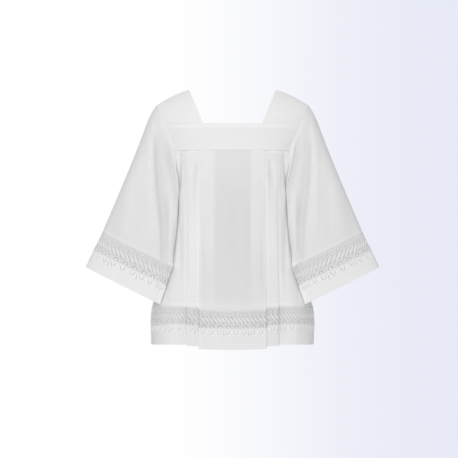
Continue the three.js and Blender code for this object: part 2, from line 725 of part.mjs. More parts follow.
for (const [faceName, face] of [["front", -1], ["back", 1]]) {
  add(`yoke_${faceName}`, yokePanel(face), cloth);
  add(`neck_band_${faceName}`, yokeBand(face, 0), seamCloth);
  add(`yoke_band_${faceName}`, yokeBand(face, 2), seamCloth);
  add(`body_${faceName}`, bodyPanel(face), cloth);
  add(`lace_${faceName}`, lacePanel(face), lace);
  add(`hem_${faceName}`, hemPanel(face), cloth);
}

for (const [sideName, turned] of [["right", (g) => g], ["left", mirroredGeometry]]) {
  add(`shoulder_${sideName}`, turned(strapPanel()), cloth);
  add(`armhole_band_${sideName}`, turned(armholeBand()), seamCloth);
  add(`sleeve_${sideName}_front`, turned(sleevePart(0)), cloth);
  add(`sleeve_${sideName}_back`, turned(sleevePart(0.5)), cloth);
  add(`sleeve_lace_${sideName}_front`, turned(sleeveLace(0)), lace);
  add(`sleeve_lace_${sideName}_back`, turned(sleeveLace(0.5)), lace);
  add(`sleeve_hem_${sideName}`, turned(sleeveHem()), cloth);
}

export default surplice;
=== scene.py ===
"""A white surplice in its worn shape: square neck, yoke, pressed pleats, bell sleeves and lace.

Formulas are in millimetres and meshes in metres, in the frame's axes: the wearer faces -Y,
+X is the wearer's left hand side, and Z is up from the shoulder tops.
"""

import bpy
import numpy as np
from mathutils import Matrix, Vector


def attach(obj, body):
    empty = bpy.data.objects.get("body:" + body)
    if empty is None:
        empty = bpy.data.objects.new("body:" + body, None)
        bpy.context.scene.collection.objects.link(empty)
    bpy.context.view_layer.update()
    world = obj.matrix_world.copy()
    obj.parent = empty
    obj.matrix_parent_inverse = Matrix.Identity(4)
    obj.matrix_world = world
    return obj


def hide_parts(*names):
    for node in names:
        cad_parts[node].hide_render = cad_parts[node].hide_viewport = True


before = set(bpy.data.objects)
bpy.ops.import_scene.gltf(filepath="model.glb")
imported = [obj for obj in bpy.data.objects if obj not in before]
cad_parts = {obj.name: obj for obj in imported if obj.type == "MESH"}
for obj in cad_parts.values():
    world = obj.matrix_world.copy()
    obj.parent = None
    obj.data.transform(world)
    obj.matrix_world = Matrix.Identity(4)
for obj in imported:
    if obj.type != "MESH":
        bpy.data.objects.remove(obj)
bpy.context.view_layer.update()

# ---- sizes ----
NECK_DEPTH = 118.5
NECK_HALF_BOTTOM = 95.0
NECK_HALF_TOP = 143.5
YOKE_BOTTOM = 205.0
ARMPIT = 345.0
SHOULDER_HALF = 250.0
SHOULDER_DROP = 52.0
TOP_BAND = 16.0
BOTTOM_BAND = 13.0
ARMHOLE_BAND = 11.0
LACE_TOP = 510.0  # levels below the yoke seam
LACE_BOTTOM = 570.0
HEM_BOTTOM = 634.0
LACE_WIDTH = LACE_BOTTOM - LACE_TOP
HEM_WIDTH = HEM_BOTTOM - LACE_BOTTOM
ROUNDNESS = 2.5
TRUNK = np.array([  # depth, half width, front, back
    (118.5, 254, 110, 102),
    (205, 205, 113, 105),
    (345, 188, 127, 117),
    (460, 196, 145, 133),
    (565, 215, 163, 149),
    (719, 265, 183, 168),
    (840, 267, 190, 175),
], float)
FIRST_EDGE, FIRST_FOLD = 104.0, 59.0
SECOND_EDGE, SECOND_FOLD = 147.0, 112.0
PITCH_TOP, PITCH_HEM, PITCH_LATE = 0.8, 4.6, 1.5  # from layer to layer
TURN_REACH = 0.7  # of the pitch, by which a fold's turn bulges
ARMHOLE_ANGLE_TOP, ARMHOLE_ANGLE_YOKE = 55.5, 62.3
ARMHOLE_CURVE = 1.25
REPEAT = 25.6  # of the lace and the embroidery
SLEEVE_RINGS = [  # outer end, inner end, front bulge, back bulge
    ((-423, -58, -471), (-190, -106, -580), 40, 52),
    ((-451, -64, -528), (-211, -105, -640), 40, 54),
    ((-475, -68, -581), (-230, -108, -700), 40, 56),
]
RING_POWER = 0.62
OVERHANG_AT, OVERHANG_SPREAD = 0.43, 0.085  # places round the sleeve
OVERHANG_IN, OVERHANG_OUT, OVERHANG_BEHIND = 27.0, 26.0, 0.3
CLOTH = 0.6  # thickness
HEM = 0.9
NET_CLOTH = 0.12
BAND = 0.3
BAND_LIFT = 0.5
SLEEVE_CLEAR = 3.0  # from the trunk's form to the sleeve
GAP = 0.15  # half of what parts two pieces at a seam
SEAM_CALM = 40.0  # the folds fade over this distance from a side seam

# Soft folds of the trunk's front and back: place and depth of the top, of the foot, half width,
# height, and how much steeper the side further from the middle is, where it isn't STEEPER. They
# are as uneven as in worn cloth.
STEEPER = 0.3
TRUNK_FOLDS = {
    -1: [
        (-165, 186, -176, 372, 6.0, -6.5, -0.4), (165, 186, 175, 366, 5.6, -6.2, -0.4),
        (-110, 216, -117, 450, 5.4, 4.0), (111, 216, 116, 430, 5.6, 3.8),
        (-124, 226, -130, 352, 6.8, -4.6), (123, 224, 131, 340, 7.0, -4.4),
        (-150, 206, -149, 330, 7.0, 2.6), (151, 206, 148, 350, 7.0, 2.4),
        (-136, 380, -140, 660, 8.0, 2.2), (137, 350, 140, 640, 8.0, 2.0),
        (-168, 400, -168, 690, 9.0, -4.0), (167, 390, 169, 690, 9.0, -4.2),
        (-98, 470, -95, 700, 5.0, -1.6), (97, 450, 95, 690, 5.0, -1.5),
        (-30, 330, -36, 640, 20.0, 1.6), (34, 360, 30, 660, 22.0, 1.4),
        (4, 300, 2, 600, 24.0, -1.6), (-84, 420, -80, 700, 10.0, 1.2),
        (86, 440, 82, 700, 10.0, 1.0), (-196, 420, -206, 700, 9.0, 2.6),
        (197, 440, 205, 700, 9.0, 2.4),
    ],
    1: [
        (-163, 186, -174, 372, 6.0, -5.0), (166, 186, 178, 360, 5.8, -5.4),
        (-112, 216, -118, 440, 6.0, 3.6), (110, 216, 117, 420, 5.4, 3.8),
        (-126, 226, -132, 350, 7.4, -4.0), (125, 224, 130, 360, 6.8, -4.2),
        (-151, 206, -148, 340, 7.0, 2.4), (149, 206, 150, 330, 7.0, 2.6),
        (-138, 360, -139, 650, 8.0, 2.0), (135, 350, 141, 640, 8.0, 2.2),
        (-168, 400, -171, 690, 9.0, -4.2), (166, 400, 168, 680, 9.0, -3.8),
        (-26, 320, -30, 650, 20.0, 1.6), (38, 350, 36, 640, 22.0, 1.6),
        (6, 310, 8, 620, 24.0, -1.6), (-82, 440, -80, 700, 10.0, 1.2),
        (-198, 420, -204, 700, 9.0, 2.4), (196, 430, 207, 700, 9.0, 2.6),
    ],
}
# Soft folds of the right sleeve's front and back: the same columns, with x as a positive number.
SLEEVE_FOLDS = {
    -1: [
        (252, 74, 222, 500, 17.0, -13.5, 0.6), (228, 330, 213, 660, 14.0, -12.0),
        (221, 138, 144, 490, 9.0, -13.0, -0.6), (274, 130, 262, 560, 13.0, 4.5),
        (205, 300, 196, 600, 8.0, 4.0), (184, 400, 186, 620, 8.0, -4.0),
        (330, 240, 356, 540, 24.0, 2.6), (300, 240, 314, 520, 18.0, -3.0),
        (376, 330, 396, 560, 18.0, -2.4),
    ],
    1: [
        (250, 80, 220, 490, 18.0, -12.5, 0.6), (226, 340, 215, 650, 15.0, -11.0),
        (221, 144, 146, 480, 9.5, -12.0, -0.6), (272, 140, 262, 540, 14.0, 4.2),
        (204, 310, 198, 590, 9.0, 3.6), (326, 250, 356, 530, 22.0, 2.8),
        (298, 230, 318, 500, 18.0, -3.2), (372, 340, 398, 560, 18.0, -2.2),
    ],
}


# ---- form ----
def mix(a, b, t):
    return a + (b - a) * t


def smooth(t):
    """3t^2 - 2t^3, held at 0 and 1."""
    t = np.clip(t, 0, 1)
    return t * t * (3 - 2 * t)


def unit(v):
    return v / np.maximum(np.linalg.norm(v, axis=-1, keepdims=True), 1e-12)


def stack(x, y, z):
    return np.stack(np.broadcast_arrays(x, y, z), axis=-1).astype(float)


def table_curve(place, value):
    """A cubic through a table's rows, whose slope at a row is that of its neighbours' chord.

    A row is a number or a grid of numbers.
    """
    gap = np.diff(place).reshape(-1, *[1] * (value.ndim - 1))
    slope = np.concatenate([
        np.diff(value[:2], axis=0) / gap[:1],
        (value[2:] - value[:-2]) / (gap[1:] + gap[:-1]),
        np.diff(value[-2:], axis=0) / gap[-1:],
    ])

    def at(p):
        i = np.clip(np.searchsorted(place, p, side="right") - 1, 0, len(place) - 2)
        t = np.clip((p - place[i]).reshape(gap[i].shape) / gap[i], 0, 1)
        ends = value[i] * (1 + 2 * t) * (1 - t) ** 2 + value[i + 1] * t * t * (3 - 2 * t)
        return ends + gap[i] * (slope[i] * t * (1 - t) ** 2 - slope[i + 1] * t * t * (1 - t))

    return at


half_width = table_curve(TRUNK[:, 0], TRUNK[:, 1])
reach = {-1: table_curve(TRUNK[:, 0], TRUNK[:, 2]), 1: table_curve(TRUNK[:, 0], TRUNK[:, 3])}


def soft_folds(table, x, depth):
    """The sum of h * exp(-(x'/w)^2), faded in and out along each fold's own line.

    x' is the distance from that line, and w is smaller on the fold's steeper side.
    """
    total = np.zeros(np.broadcast(x, depth).shape)
    for top_x, top, foot_x, foot, half, height, *steeper in table:
        down = (depth - top) / (foot - top)
        middle = mix(top_x, foot_x, down) + 1.5 * np.sin(down * 5 + top)
        fade = smooth(down * 3.5) * smooth((1 - down) * 2.2)
        away = (x - middle) * np.sign(middle)
        width = half * (1 - (*steeper, STEEPER)[0] * np.tanh(away / half))
        total = total + height * fade * np.exp(-((away / width) ** 2))
    return total


def trunk_plain(face, angle, depth):
    """x = a |sin|^(2/n), y = face b cos^(2/n): a superellipse, at an angle from its middle."""
    sine = np.sin(np.radians(angle))
    cosine = np.maximum(0, np.cos(np.radians(angle)))
    x = half_width(depth) * np.sign(sine) * np.abs(sine) ** (2 / ROUNDNESS)
    return stack(x, face * reach[face](depth) * cosine ** (2 / ROUNDNESS), -depth)


def trunk_frame(face, angle, depth):
    """The level direction away from the middle, and the level inward normal."""
    before = trunk_plain(face, np.maximum(angle - 0.5, -90), depth)
    tangent = unit(trunk_plain(face, np.minimum(angle + 0.5, 90), depth) - before)
    inward = stack(face * tangent[..., 1], -face * tangent[..., 0], 0)
    return tangent, inward


def angle_at(x, depth):
    return np.degrees(np.arcsin(np.clip(x / half_width(depth), 0, 1) ** (ROUNDNESS / 2)))


def pitch_at(level):
    return mix(PITCH_TOP, PITCH_HEM, np.clip(level / HEM_BOTTOM, 0, 1) ** PITCH_LATE)


def armhole_cut(share):
    angle = mix(ARMHOLE_ANGLE_YOKE, 90.0, share**ARMHOLE_CURVE)
    return angle, mix(YOKE_BOTTOM, ARMPIT, np.sin(np.radians(90 * share)))


# One half of the pleated cloth, from the middle out: x at both ends of a flat stretch, its
# layer, and the way its fold turns at the end. The side follows on the last stretch.
STRETCHES = [
    (0.0, FIRST_EDGE, 0, 1),
    (FIRST_EDGE, FIRST_FOLD, 1, -1),
    (FIRST_FOLD, SECOND_EDGE, 2, 1),
    (SECOND_EDGE, SECOND_FOLD, 3, -1),
    (SECOND_FOLD, SECOND_EDGE, 4, 0),
]
REPEATS = [4, 1, 3, 1, 11]  # of lace on each stretch, and on the last with its side
BEND_POINTS, BEND_STEP = 5, 1.2  # columns in a fold's turn, and how far apart they lie in s
SIDE_LENGTH = 270  # about, along the cloth
RISES = [  # x and rise at the hem along each stretch
    ([0, 30, 59, 81.5, 104], [0, 0.5, 1, 1.5, 2]),
    ([59, 81.5, 104], [5, 3.5, 2]),
    ([59, 81.5, 104, 112, 129.5, 147], [5, 7, 9, 9.5, 10, 11]),
    ([112, 129.5, 147], [12, 11.5, 11]),
    ([112, 129.5, 147], [12, 12.5, 13]),
]
SIDE_TABLE = np.array([  # share at the top, at the foot, layer, rise, armhole
    (0, 0, 4, 13, 0),
    (0.04, 0.036, 4, 13, 0),
    (0.15, 0.09, 2.7, 13, 0),
    (0.29, 0.17, 1.1, 13, 0),
    (0, 0.27, 0, 12.5, 0),
    (0, 0.36, 0, 11.5, 0.2),
    (0, 0.48, 0, 9.5, 0.4),
    (0, 0.62, 0, 7, 0.6),
    (0, 0.8, 0, 5, 0.8),
    (0, 1, 0, 3, 1),
])
ARMHOLE_ROW = 4  # from this row on, the cloth starts at the armhole


def share_of_armhole(share):
    """Where the armhole's line lies between the second edge and the side seam."""
    angle, depth = armhole_cut(share)
    edge = angle_at(SECOND_EDGE, depth)
    return (angle - edge) / (90 - edge)


SIDE_TABLE[ARMHOLE_ROW:, 0] = share_of_armhole(SIDE_TABLE[ARMHOLE_ROW:, 4])


class Half:
    """Columns of one half of the pleated cloth, as arrays: x, layer, rise, turn and side shares."""

    def __init__(self, per_mm):
        parts = []
        for k, (start, end, layer, turn) in enumerate(STRETCHES):
            x = np.linspace(start, end, max(4, round(abs(end - start) * per_mm)) + 1)
            rise = np.interp(x, *RISES[k])
            parts.append(self.part(x, layer, rise, k))
            if turn:
                phase = np.pi * np.arange(1, BEND_POINTS + 1) / (BEND_POINTS + 1)
                layers = layer + (1 - np.cos(phase)) / 2
                turns = turn * TURN_REACH * np.sin(phase)
                parts.append(self.part(end + 0 * phase, layers, rise[-1], k + 0.5, turn=turns))
        rows = np.arange(len(SIDE_TABLE))
        q = np.linspace(0, rows[-1], round(SIDE_LENGTH * per_mm) + 1)[1:]
        foot, layer, rise = (table_curve(rows, SIDE_TABLE[:, k])(q) for k in (1, 2, 3))
        armhole = np.interp(q, rows, SIDE_TABLE[:, 4])
        early = table_curve(rows[:ARMHOLE_ROW + 1], SIDE_TABLE[:ARMHOLE_ROW + 1, 0])(q)
        top = np.where(q < ARMHOLE_ROW, early, share_of_armhole(armhole))
        parts.append(self.part(SECOND_EDGE + 0 * q, np.maximum(layer, 0), rise, len(STRETCHES) - 1,
                               top=top, foot=foot, armhole=armhole))
        self.columns = {key: np.concatenate([part[key] for part in parts]) for key in parts[0]}

    @staticmethod
    def part(x, layer, rise, section, turn=0, top=0, foot=0, armhole=0):
        given = {"x": x, "layer": layer, "rise": rise, "section": section,
                 "turn": turn, "top": top, "foot": foot, "armhole": armhole}
        return {key: value + np.zeros(len(x)) for key, value in given.items()}

    def start(self):
        """Level at which each column starts."""
        return armhole_cut(self.columns["armhole"])[1] - YOKE_BOTTOM

    def at(self, face, level):
        """Points at a level for each column, before the trunk's soft folds."""
        c = self.columns
        depth = YOKE_BOTTOM + level - c["rise"] * level / HEM_BOTTOM
        start = self.start()
        down = np.clip((level - start) / (LACE_TOP - start), 0, 1)
        share = mix(c["top"], c["foot"], down)
        angle = mix(angle_at(c["x"], depth), 90.0, share)
        tangent, inward = trunk_frame(face, angle, depth)
        pitch = pitch_at(level)[..., None]
        layer = c["layer"][..., None]
        plain = trunk_plain(face, angle, depth)
        return plain + inward * layer * pitch + tangent * c["turn"][..., None] * pitch


def whole(face, right):
    """A whole front or back from its half, side seam to side seam, and the height of its folds."""
    points = np.concatenate([right[:, :0:-1] * (-1, 1, 1), right], axis=1)
    near = np.abs(points[..., 1]) < GAP
    points[..., 1] = np.where(near, face * GAP, points[..., 1])
    lift = soft_folds(TRUNK_FOLDS[face], points[..., 0], -points[..., 2])
    lift = lift * smooth(np.abs(points[..., 1]) / SEAM_CALM)
    points[..., 1] += face * lift
    return points, lift


def grid_normals(points, ring=False):
    """Unit cross products of the two directions of a grid."""
    if ring:
        along = np.roll(points, -1, axis=1) - np.roll(points, 1, axis=1)
    else:
        along = np.gradient(points, axis=1)
    return unit(np.cross(along, np.gradient(points, axis=0)))


# ---- meshes ----
def grid_quads(rows, columns, ring):
    """Corner numbers of each cell of a grid of points numbered row by row."""
    i = np.arange(rows - 1)[:, None] * columns
    j = np.arange(columns if ring else columns - 1)[None]
    following = (j + 1) % columns
    corners = [i + j, i + columns + j, i + columns + following, i + following]
    return np.stack(corners, axis=-1).reshape(-1, 4)


def make_object(name, vertices, faces, values, sharp=50):
    """A mesh object from points in millimetres, with attributes at its points.

    faces is a list of arrays of corner numbers, each with as many columns as its faces have corners.
    """
    vertices = np.asarray(vertices, float)
    fans = [part[:, [0, k, k + 1]] for part in faces for k in range(1, part.shape[1] - 1)]
    fans = np.concatenate(fans)
    a, b, c = (vertices[fans[:, k]] for k in range(3))
    if np.sum(a * np.cross(b, c)) < 0:
        faces = [part[:, ::-1] for part in faces]
    sizes = np.concatenate([np.full(len(part), part.shape[1]) for part in faces])
    corners = np.concatenate([part.ravel() for part in faces])
    mesh = bpy.data.meshes.new(name)
    mesh.vertices.add(len(vertices))
    mesh.vertices.foreach_set("co", (vertices / 1000).astype(np.float32).ravel())
    mesh.loops.add(len(corners))
    mesh.loops.foreach_set("vertex_index", corners.astype(np.int32))
    mesh.polygons.add(len(sizes))
    mesh.polygons.foreach_set("loop_start", (np.cumsum(sizes) - sizes).astype(np.int32))
    for key, value in values.items():
        kind, field = ("FLOAT_VECTOR", "vector") if np.ndim(value) == 2 else ("FLOAT", "value")
        attribute = mesh.attributes.new(key, kind, "POINT")
        attribute.data.foreach_set(field, np.asarray(value, np.float32).ravel())
    mesh.update(calc_edges=True)
    mesh.shade_smooth()
    mesh.set_sharp_from_angle(angle=np.radians(sharp))
    thing = bpy.data.objects.new(name, mesh)
    bpy.context.scene.collection.objects.link(thing)
    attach(thing, "root")
    return thing


def lengths(points, axis):
    """Distance along a grid from its first row or column, in metres."""
    steps = np.linalg.norm(np.diff(points, axis=axis), axis=-1)
    first = np.zeros_like(np.take(steps, [0], axis=axis))
    return np.concatenate([first, np.cumsum(steps, axis=axis)], axis=axis) / 1000


def shell(name, points, thickness, ring, tint):
    """A closed wall of even thickness round a grid of middle points."""
    rows, columns = points.shape[:2]
    away = grid_normals(points, ring) * thickness / 2
    outer = (points + away).reshape(-1, 3)
    inner = (points - away).reshape(-1, 3)
    faces = grid_quads(rows, columns, ring)
    count = rows * columns
    number = np.arange(count).reshape(rows, columns)
    rims = [number[0], number[-1][::-1]]
    if ring:
        rims = [np.append(rim, rim[0]) for rim in rims]
    else:
        rims += [number[::-1, 0], number[:, -1]]
    edges = [np.stack([rim[:-1], rim[1:], rim[1:] + count, rim[:-1] + count], axis=1) for rim in rims]
    quads = [faces, faces[:, ::-1] + count, *edges]
    across = lengths(points, 1)
    across = across - across[:, columns // 2][:, None]
    cloth = stack(across, lengths(points, 0), 0).reshape(-1, 3)
    tint = np.broadcast_to(tint, (rows, columns)).ravel()
    values = {"cloth": np.tile(cloth, (2, 1)), "tint": np.tile(tint, 2)}
    return make_object(name, np.concatenate([outer, inner]), quads, values)


class Surface:
    """A grid that gives points at s millimetres along it and b down it, lifted off it.

    Where s isn't given, it is measured along the middle row.
    """

    def __init__(self, points, b, outward, s=None):
        self.points = points
        self.normals = grid_normals(points)
        middle = tuple(n // 2 for n in points.shape[:2])
        if np.dot(self.normals[middle], outward) < 0:
            self.normals = -self.normals
        self.s = 1000 * lengths(points, 1)[middle[0]] if s is None else s
        self.b = b

    def place(self, s, b, lift):
        j = np.interp(s, self.s, np.arange(len(self.s)))
        i = np.interp(b, self.b, np.arange(len(self.b)))
        j0 = np.minimum(j.astype(int), len(self.s) - 2)
        i0 = np.minimum(i.astype(int), len(self.b) - 2)
        fj, fi = (j - j0)[..., None], (i - i0)[..., None]

        def blend(grid):
            low = mix(grid[i0, j0], grid[i0, j0 + 1], fj)
            return mix(low, mix(grid[i0 + 1, j0], grid[i0 + 1, j0 + 1], fj), fi)

        return blend(self.points) + unit(blend(self.normals)) * np.asarray(lift)[..., None]


GABLE = [(-1, 0), (-0.55, 1), (0.55, 1), (1, 0)]
RIDGE = [(-1, 0), (0, 1), (1, 0)]


class Threads:
    """Closed ribbons on a surface, gathered into one mesh."""

    def __init__(self, surface):
        self.surface = surface
        self.vertices = []
        self.quads = []
        self.tints = []
        self.count = 0

    def ribbon(self, s, b, width, height, base=0.0, section=GABLE, tint=1.0):
        """Ribbons along paths (s, b), each a row; width and height may vary along the path.

        The section's corners lie sideways in half widths and up in heights.
        """
        ds, db = np.gradient(s, axis=-1), np.gradient(b, axis=-1)
        size = np.maximum(np.hypot(ds, db), 1e-9)
        away_s, away_b = -db / size * width / 2, ds / size * width / 2
        height = np.broadcast_to(height, s.shape)
        lines = [self.surface.place(s + side * away_s, b + side * away_b, base + up * height)
                 for side, up in section]
        ribbons = np.stack(lines, axis=-2).reshape(-1, s.shape[-1], len(section), 3)
        number = np.arange(ribbons[..., 0].size).reshape(ribbons.shape[:3]) + self.count
        following = np.roll(number, -1, axis=-1)
        sides = np.stack([number[:, :-1], number[:, 1:], following[:, 1:], following[:, :-1]], axis=-1)
        self.quads.append(sides.reshape(-1, 4))
        for end in (number[:, 0, ::-1], number[:, -1]):
            self.quads.append(end)
        self.vertices.append(ribbons.reshape(-1, 3))
        self.tints.append(np.full(ribbons[..., 0].size, tint))
        self.count += ribbons[..., 0].size

    def finish(self, name):
        """One painted object of all the ribbons, with a name."""
        vertices = np.concatenate(self.vertices)
        values = {"cloth": vertices / 1000, "tint": np.concatenate(self.tints)}
        thing = make_object(name, vertices, self.quads, values, sharp=70)
        thing.data.materials.append(corded)
        return thing


# ---- trunk pieces ----
# Painted shade: how much darker the cloth is painted where fewer layers lie behind it, as the dark
# inside would show through, and lower down, where less light falls; down the middle, on the first
# pleat, on the second, and at the side.
LAYER_PAINTED_SHADE = np.array([  # depth, middle, first pleat, second pleat, side
    (205, 0.09, 0.02, 0.02, 0.03),
    (245, 0.10, 0.03, 0.02, 0.04),
    (340, 0.15, 0.07, 0.02, 0.04),
    (490, 0.18, 0.09, 0.02, 0.06),
    (600, 0.18, 0.14, 0.05, 0.08),
    (730, 0.16, 0.14, 0.08, 0.08),
])
# Painted shade on the sleeve, darker towards its foot.
SLEEVE_PAINTED_SHADE = (0.025, 0.125)  # at its top and at its foot
# Painted light that lifts the shadow in the crevice where the sleeve hangs by the body.
INNER_LIGHT, BESIDE_LIGHT = 0.22, 0.14  # at the sleeve's edge by the body, and on the body there
SLEEVE_EDGE = ((400, 580, 700), (186, 194, 238))  # depths, and how far out that edge hangs
# Painted light that lifts the shadow by each pleat's edge.
EDGE_LIGHT = 0.08  # on a pleat's under layer, close by the edge over it
# Painted light and shade of lace and hem: the hem is painted darker in the middle, and both lighter
# towards the sides, which turn from the light.
LACE_PAINTED_LIGHT = (1.0, 0.08, SECOND_EDGE, 30)  # in the middle, more at the side, from x on, and over
HEM_PAINTED_SHADING = (0.9, 0.05, 150, 60)
# Painted shade on the cuff.
CUFF_PAINTED_SHADE = 0.05
# Painted light on the neck band and painted shade on the yoke band.
BAND_PAINTED_SHADING = {"neck": 1.02, "yoke": 0.98}
# Painted light where the turned seam allowance doubles the cloth.
SEAM_LIGHT = 0.03  # over a turned seam allowance
SEAM_TOP = 688.0  # the depth at which that of the lace starts
# Painted light that lifts the shadow below the yoke seam.
YOKE_LIGHT = 0.10  # on the cloth close below the yoke seam


def layers_tint(points, folds):
    """Painted shade where cloth lies over nothing and in folds' hollows; painted light on ridges, over
    the seam allowance, and lifting shadows by the sleeve, the yoke seam and the pleats' edges.
    """
    x, depth = np.abs(points[..., 0]), -points[..., 2]
    columns = LAYER_PAINTED_SHADE[:, 1:].T
    middle, first, second, side = (np.interp(depth, LAYER_PAINTED_SHADE[:, 0], column) for column in columns)
    shade = mix(middle, first, smooth((x - FIRST_FOLD + 7) / 12))
    shade = mix(shade, second, smooth((x - FIRST_EDGE) / 2))
    shade = mix(shade, side, smooth((x - SECOND_EDGE + 4) / 9))
    seam = SEAM_LIGHT * smooth((depth - SEAM_TOP) / 5)
    sleeve_edge = np.interp(depth, *SLEEVE_EDGE)
    beside = BESIDE_LIGHT * np.exp(-(((x - sleeve_edge) / 14) ** 2))
    beside = beside * smooth((depth - 205) / 25) * smooth((725 - depth) / 40)
    under_yoke = YOKE_LIGHT * smooth((216 - depth) / 9) * smooth((x - 105) / 20)
    edges = edge_light(x) * smooth((depth - 300) / 200)
    return 1 - shade + seam + fold_painted_shading(folds) + beside + under_yoke + edges


def edge_light(x):
    """Painted light on a pleat's under layer, close by the edge over it, that lifts the edge's shadow.
    """
    return sum(EDGE_LIGHT * np.exp(-(((x - edge - 3) / 5) ** 2)) for edge in (FIRST_EDGE, SECOND_EDGE))


def side_tint(points, middle, more, start, width):
    """Painted light and shade of lace or hem: painted lighter at the side and beside the pleats'
    edges.
    """
    x = np.abs(points[..., 0])
    return middle + more * smooth((x - start) / width) + edge_light(x)


def fold_painted_shading(folds):
    """Painted shade in the hollows and painted light on the ridges of folds of a height in
    millimetres.
    """
    return np.clip(0.007 * np.minimum(folds, 0) + 0.003 * np.maximum(folds, 0), -0.09, 0.02)


# Where each stretch of lace starts, in s, and each repeat on a whole front or back.
STARTS = np.cumsum([0.0] + [n * REPEAT + (BEND_POINTS + 1) * BEND_STEP for n in REPEATS[:-1]])
half_starts = np.concatenate([s0 + np.arange(n) * REPEAT for s0, n in zip(STARTS, REPEATS)])
REPEAT_STARTS = np.concatenate([-half_starts[::-1] - REPEAT, half_starts])
PER_REPEAT = 6  # columns


def lace_grid(face, rows_b):
    """A grid over lace or hem whose columns lie evenly on every stretch, and its s."""
    half = Half(0.5)
    fine = half.at(face, LACE_TOP + rows_b[:, None])
    section = half.columns["section"]
    pieces, places = [], []
    for k, (s0, repeats) in enumerate(zip(STARTS, REPEATS)):
        stretch = fine[:, section == k]
        share = np.linspace(0, 1, repeats * PER_REPEAT + 1)
        rows = [[np.interp(share * run[-1], run, line) for line in row.T]
                for row, run in zip(stretch, lengths(stretch, 1))]
        pieces.append(np.array(rows).swapaxes(1, 2))
        places.append(s0 + share * repeats * REPEAT)
        bend = fine[:, section == k + 0.5]
        pieces.append(bend)
        places.append(s0 + repeats * REPEAT + np.arange(1, bend.shape[1] + 1) * BEND_STEP)
    s = np.concatenate(places)
    return whole(face, np.concatenate(pieces, axis=1))[0], np.concatenate([-s[:0:-1], s])


NAMES = {-1: "front", 1: "back"}


# ---- lace, embroidery and stitches ----
NET = REPEAT / 10  # the net's spacing
NET_TOP = 1.85
NET_ROWS = 22
LEAVES = (3.2, 16.0)  # where each leaf starts in a repeat
LEAF_TOP, LEAF_FOOT, LEAF_LEAN = 21.0, 41.0, 15.5
SLOT_AWAY, SLOT_HALF = 3.9, 2.3
OVALS = [(8.6, 12.2, 2.9, 6.4), (20.4, 10.4, 2.3, 4.4)]  # middle, and half sizes
ARCH = (12.8, 53.0, 3.1, 9.0)  # its middle, its dot's radius and its own


def leaf_line(start, b):
    """A leaf leans to one side on its way down, and more so in its middle."""
    t = (b - LEAF_TOP) / (LEAF_FOOT - LEAF_TOP)
    return start + LEAF_LEAN * mix(t, smooth(t), 0.3)


def is_open(a, b):
    """Whether the net is left out at a place in a repeat."""
    near = (b > LEAF_TOP - 0.5) & (b < LEAF_FOOT + 1)
    holes = False
    for start in LEAVES:
        away = a - leaf_line(start, b) - SLOT_AWAY
        away = np.mod(away + REPEAT / 2, REPEAT) - REPEAT / 2
        holes = holes | (near & (np.abs(away) < SLOT_HALF))
    for x, y, half_x, half_y in OVALS:
        holes = holes | (((a - x) / half_x) ** 2 + ((b - y) / half_y) ** 2 < 1)
    from_dot = np.hypot(a - ARCH[0], b - ARCH[1])
    return holes | ((from_dot > ARCH[2] - 1) & (from_dot < ARCH[3]) & (b < ARCH[1] + 3.2))


def net_runs(slope):
    """Straight lines of the net in one repeat, as (first a, first b, steps), between its holes."""
    wide = round(REPEAT / NET)
    first = 0 if slope > 0 else wide
    starts = [(i, 0) for i in range(wide + 1)] + [(first, j) for j in range(1, NET_ROWS)]
    for i0, j0 in starts:
        steps = min(wide - i0 if slope > 0 else i0, NET_ROWS - j0)
        middle = np.arange(steps) + 0.5
        shut = ~is_open((i0 + slope * middle) * NET, NET_TOP + (j0 + middle) * NET)
        change = np.flatnonzero(np.diff(np.concatenate([[False], shut, [False]]).astype(int)))
        for begin, end in zip(change[::2], change[1::2]):
            yield (i0 + slope * begin) * NET, NET_TOP + (j0 + begin) * NET, int(end - begin)


class Border(Threads):
    """Paths in one repeat, laid on every repeat of a border; they lean to one side or the other."""

    def __init__(self, surface, starts, lean, margin):
        super().__init__(surface)
        self.margin = margin
        self.starts = np.asarray(starts)[:, None]
        self.lean = lean

    def put(self, a, b, width, height, base=0.0, **look):
        a, b = np.asarray(a, float)[None], np.asarray(b, float)[None] + 0 * self.starts
        s = self.starts + (a if self.lean > 0 else REPEAT - a)
        self.ribbon(s, b, width, height, base, **look)

    def cord(self, b, width, height, base=0.0, **look):
        """A cord all along, through the folds."""
        s = self.surface.s
        run = s[(s >= s[0] + self.margin) & (s <= s[-1] - self.margin)]
        level = np.full((1, len(run)), b)
        self.ribbon(run[None], level, width, height, base, **look)


ALONG = np.linspace(0, 1, 9)
LENS = np.sin(np.pi * (0.04 + 0.92 * ALONG)) ** 0.6


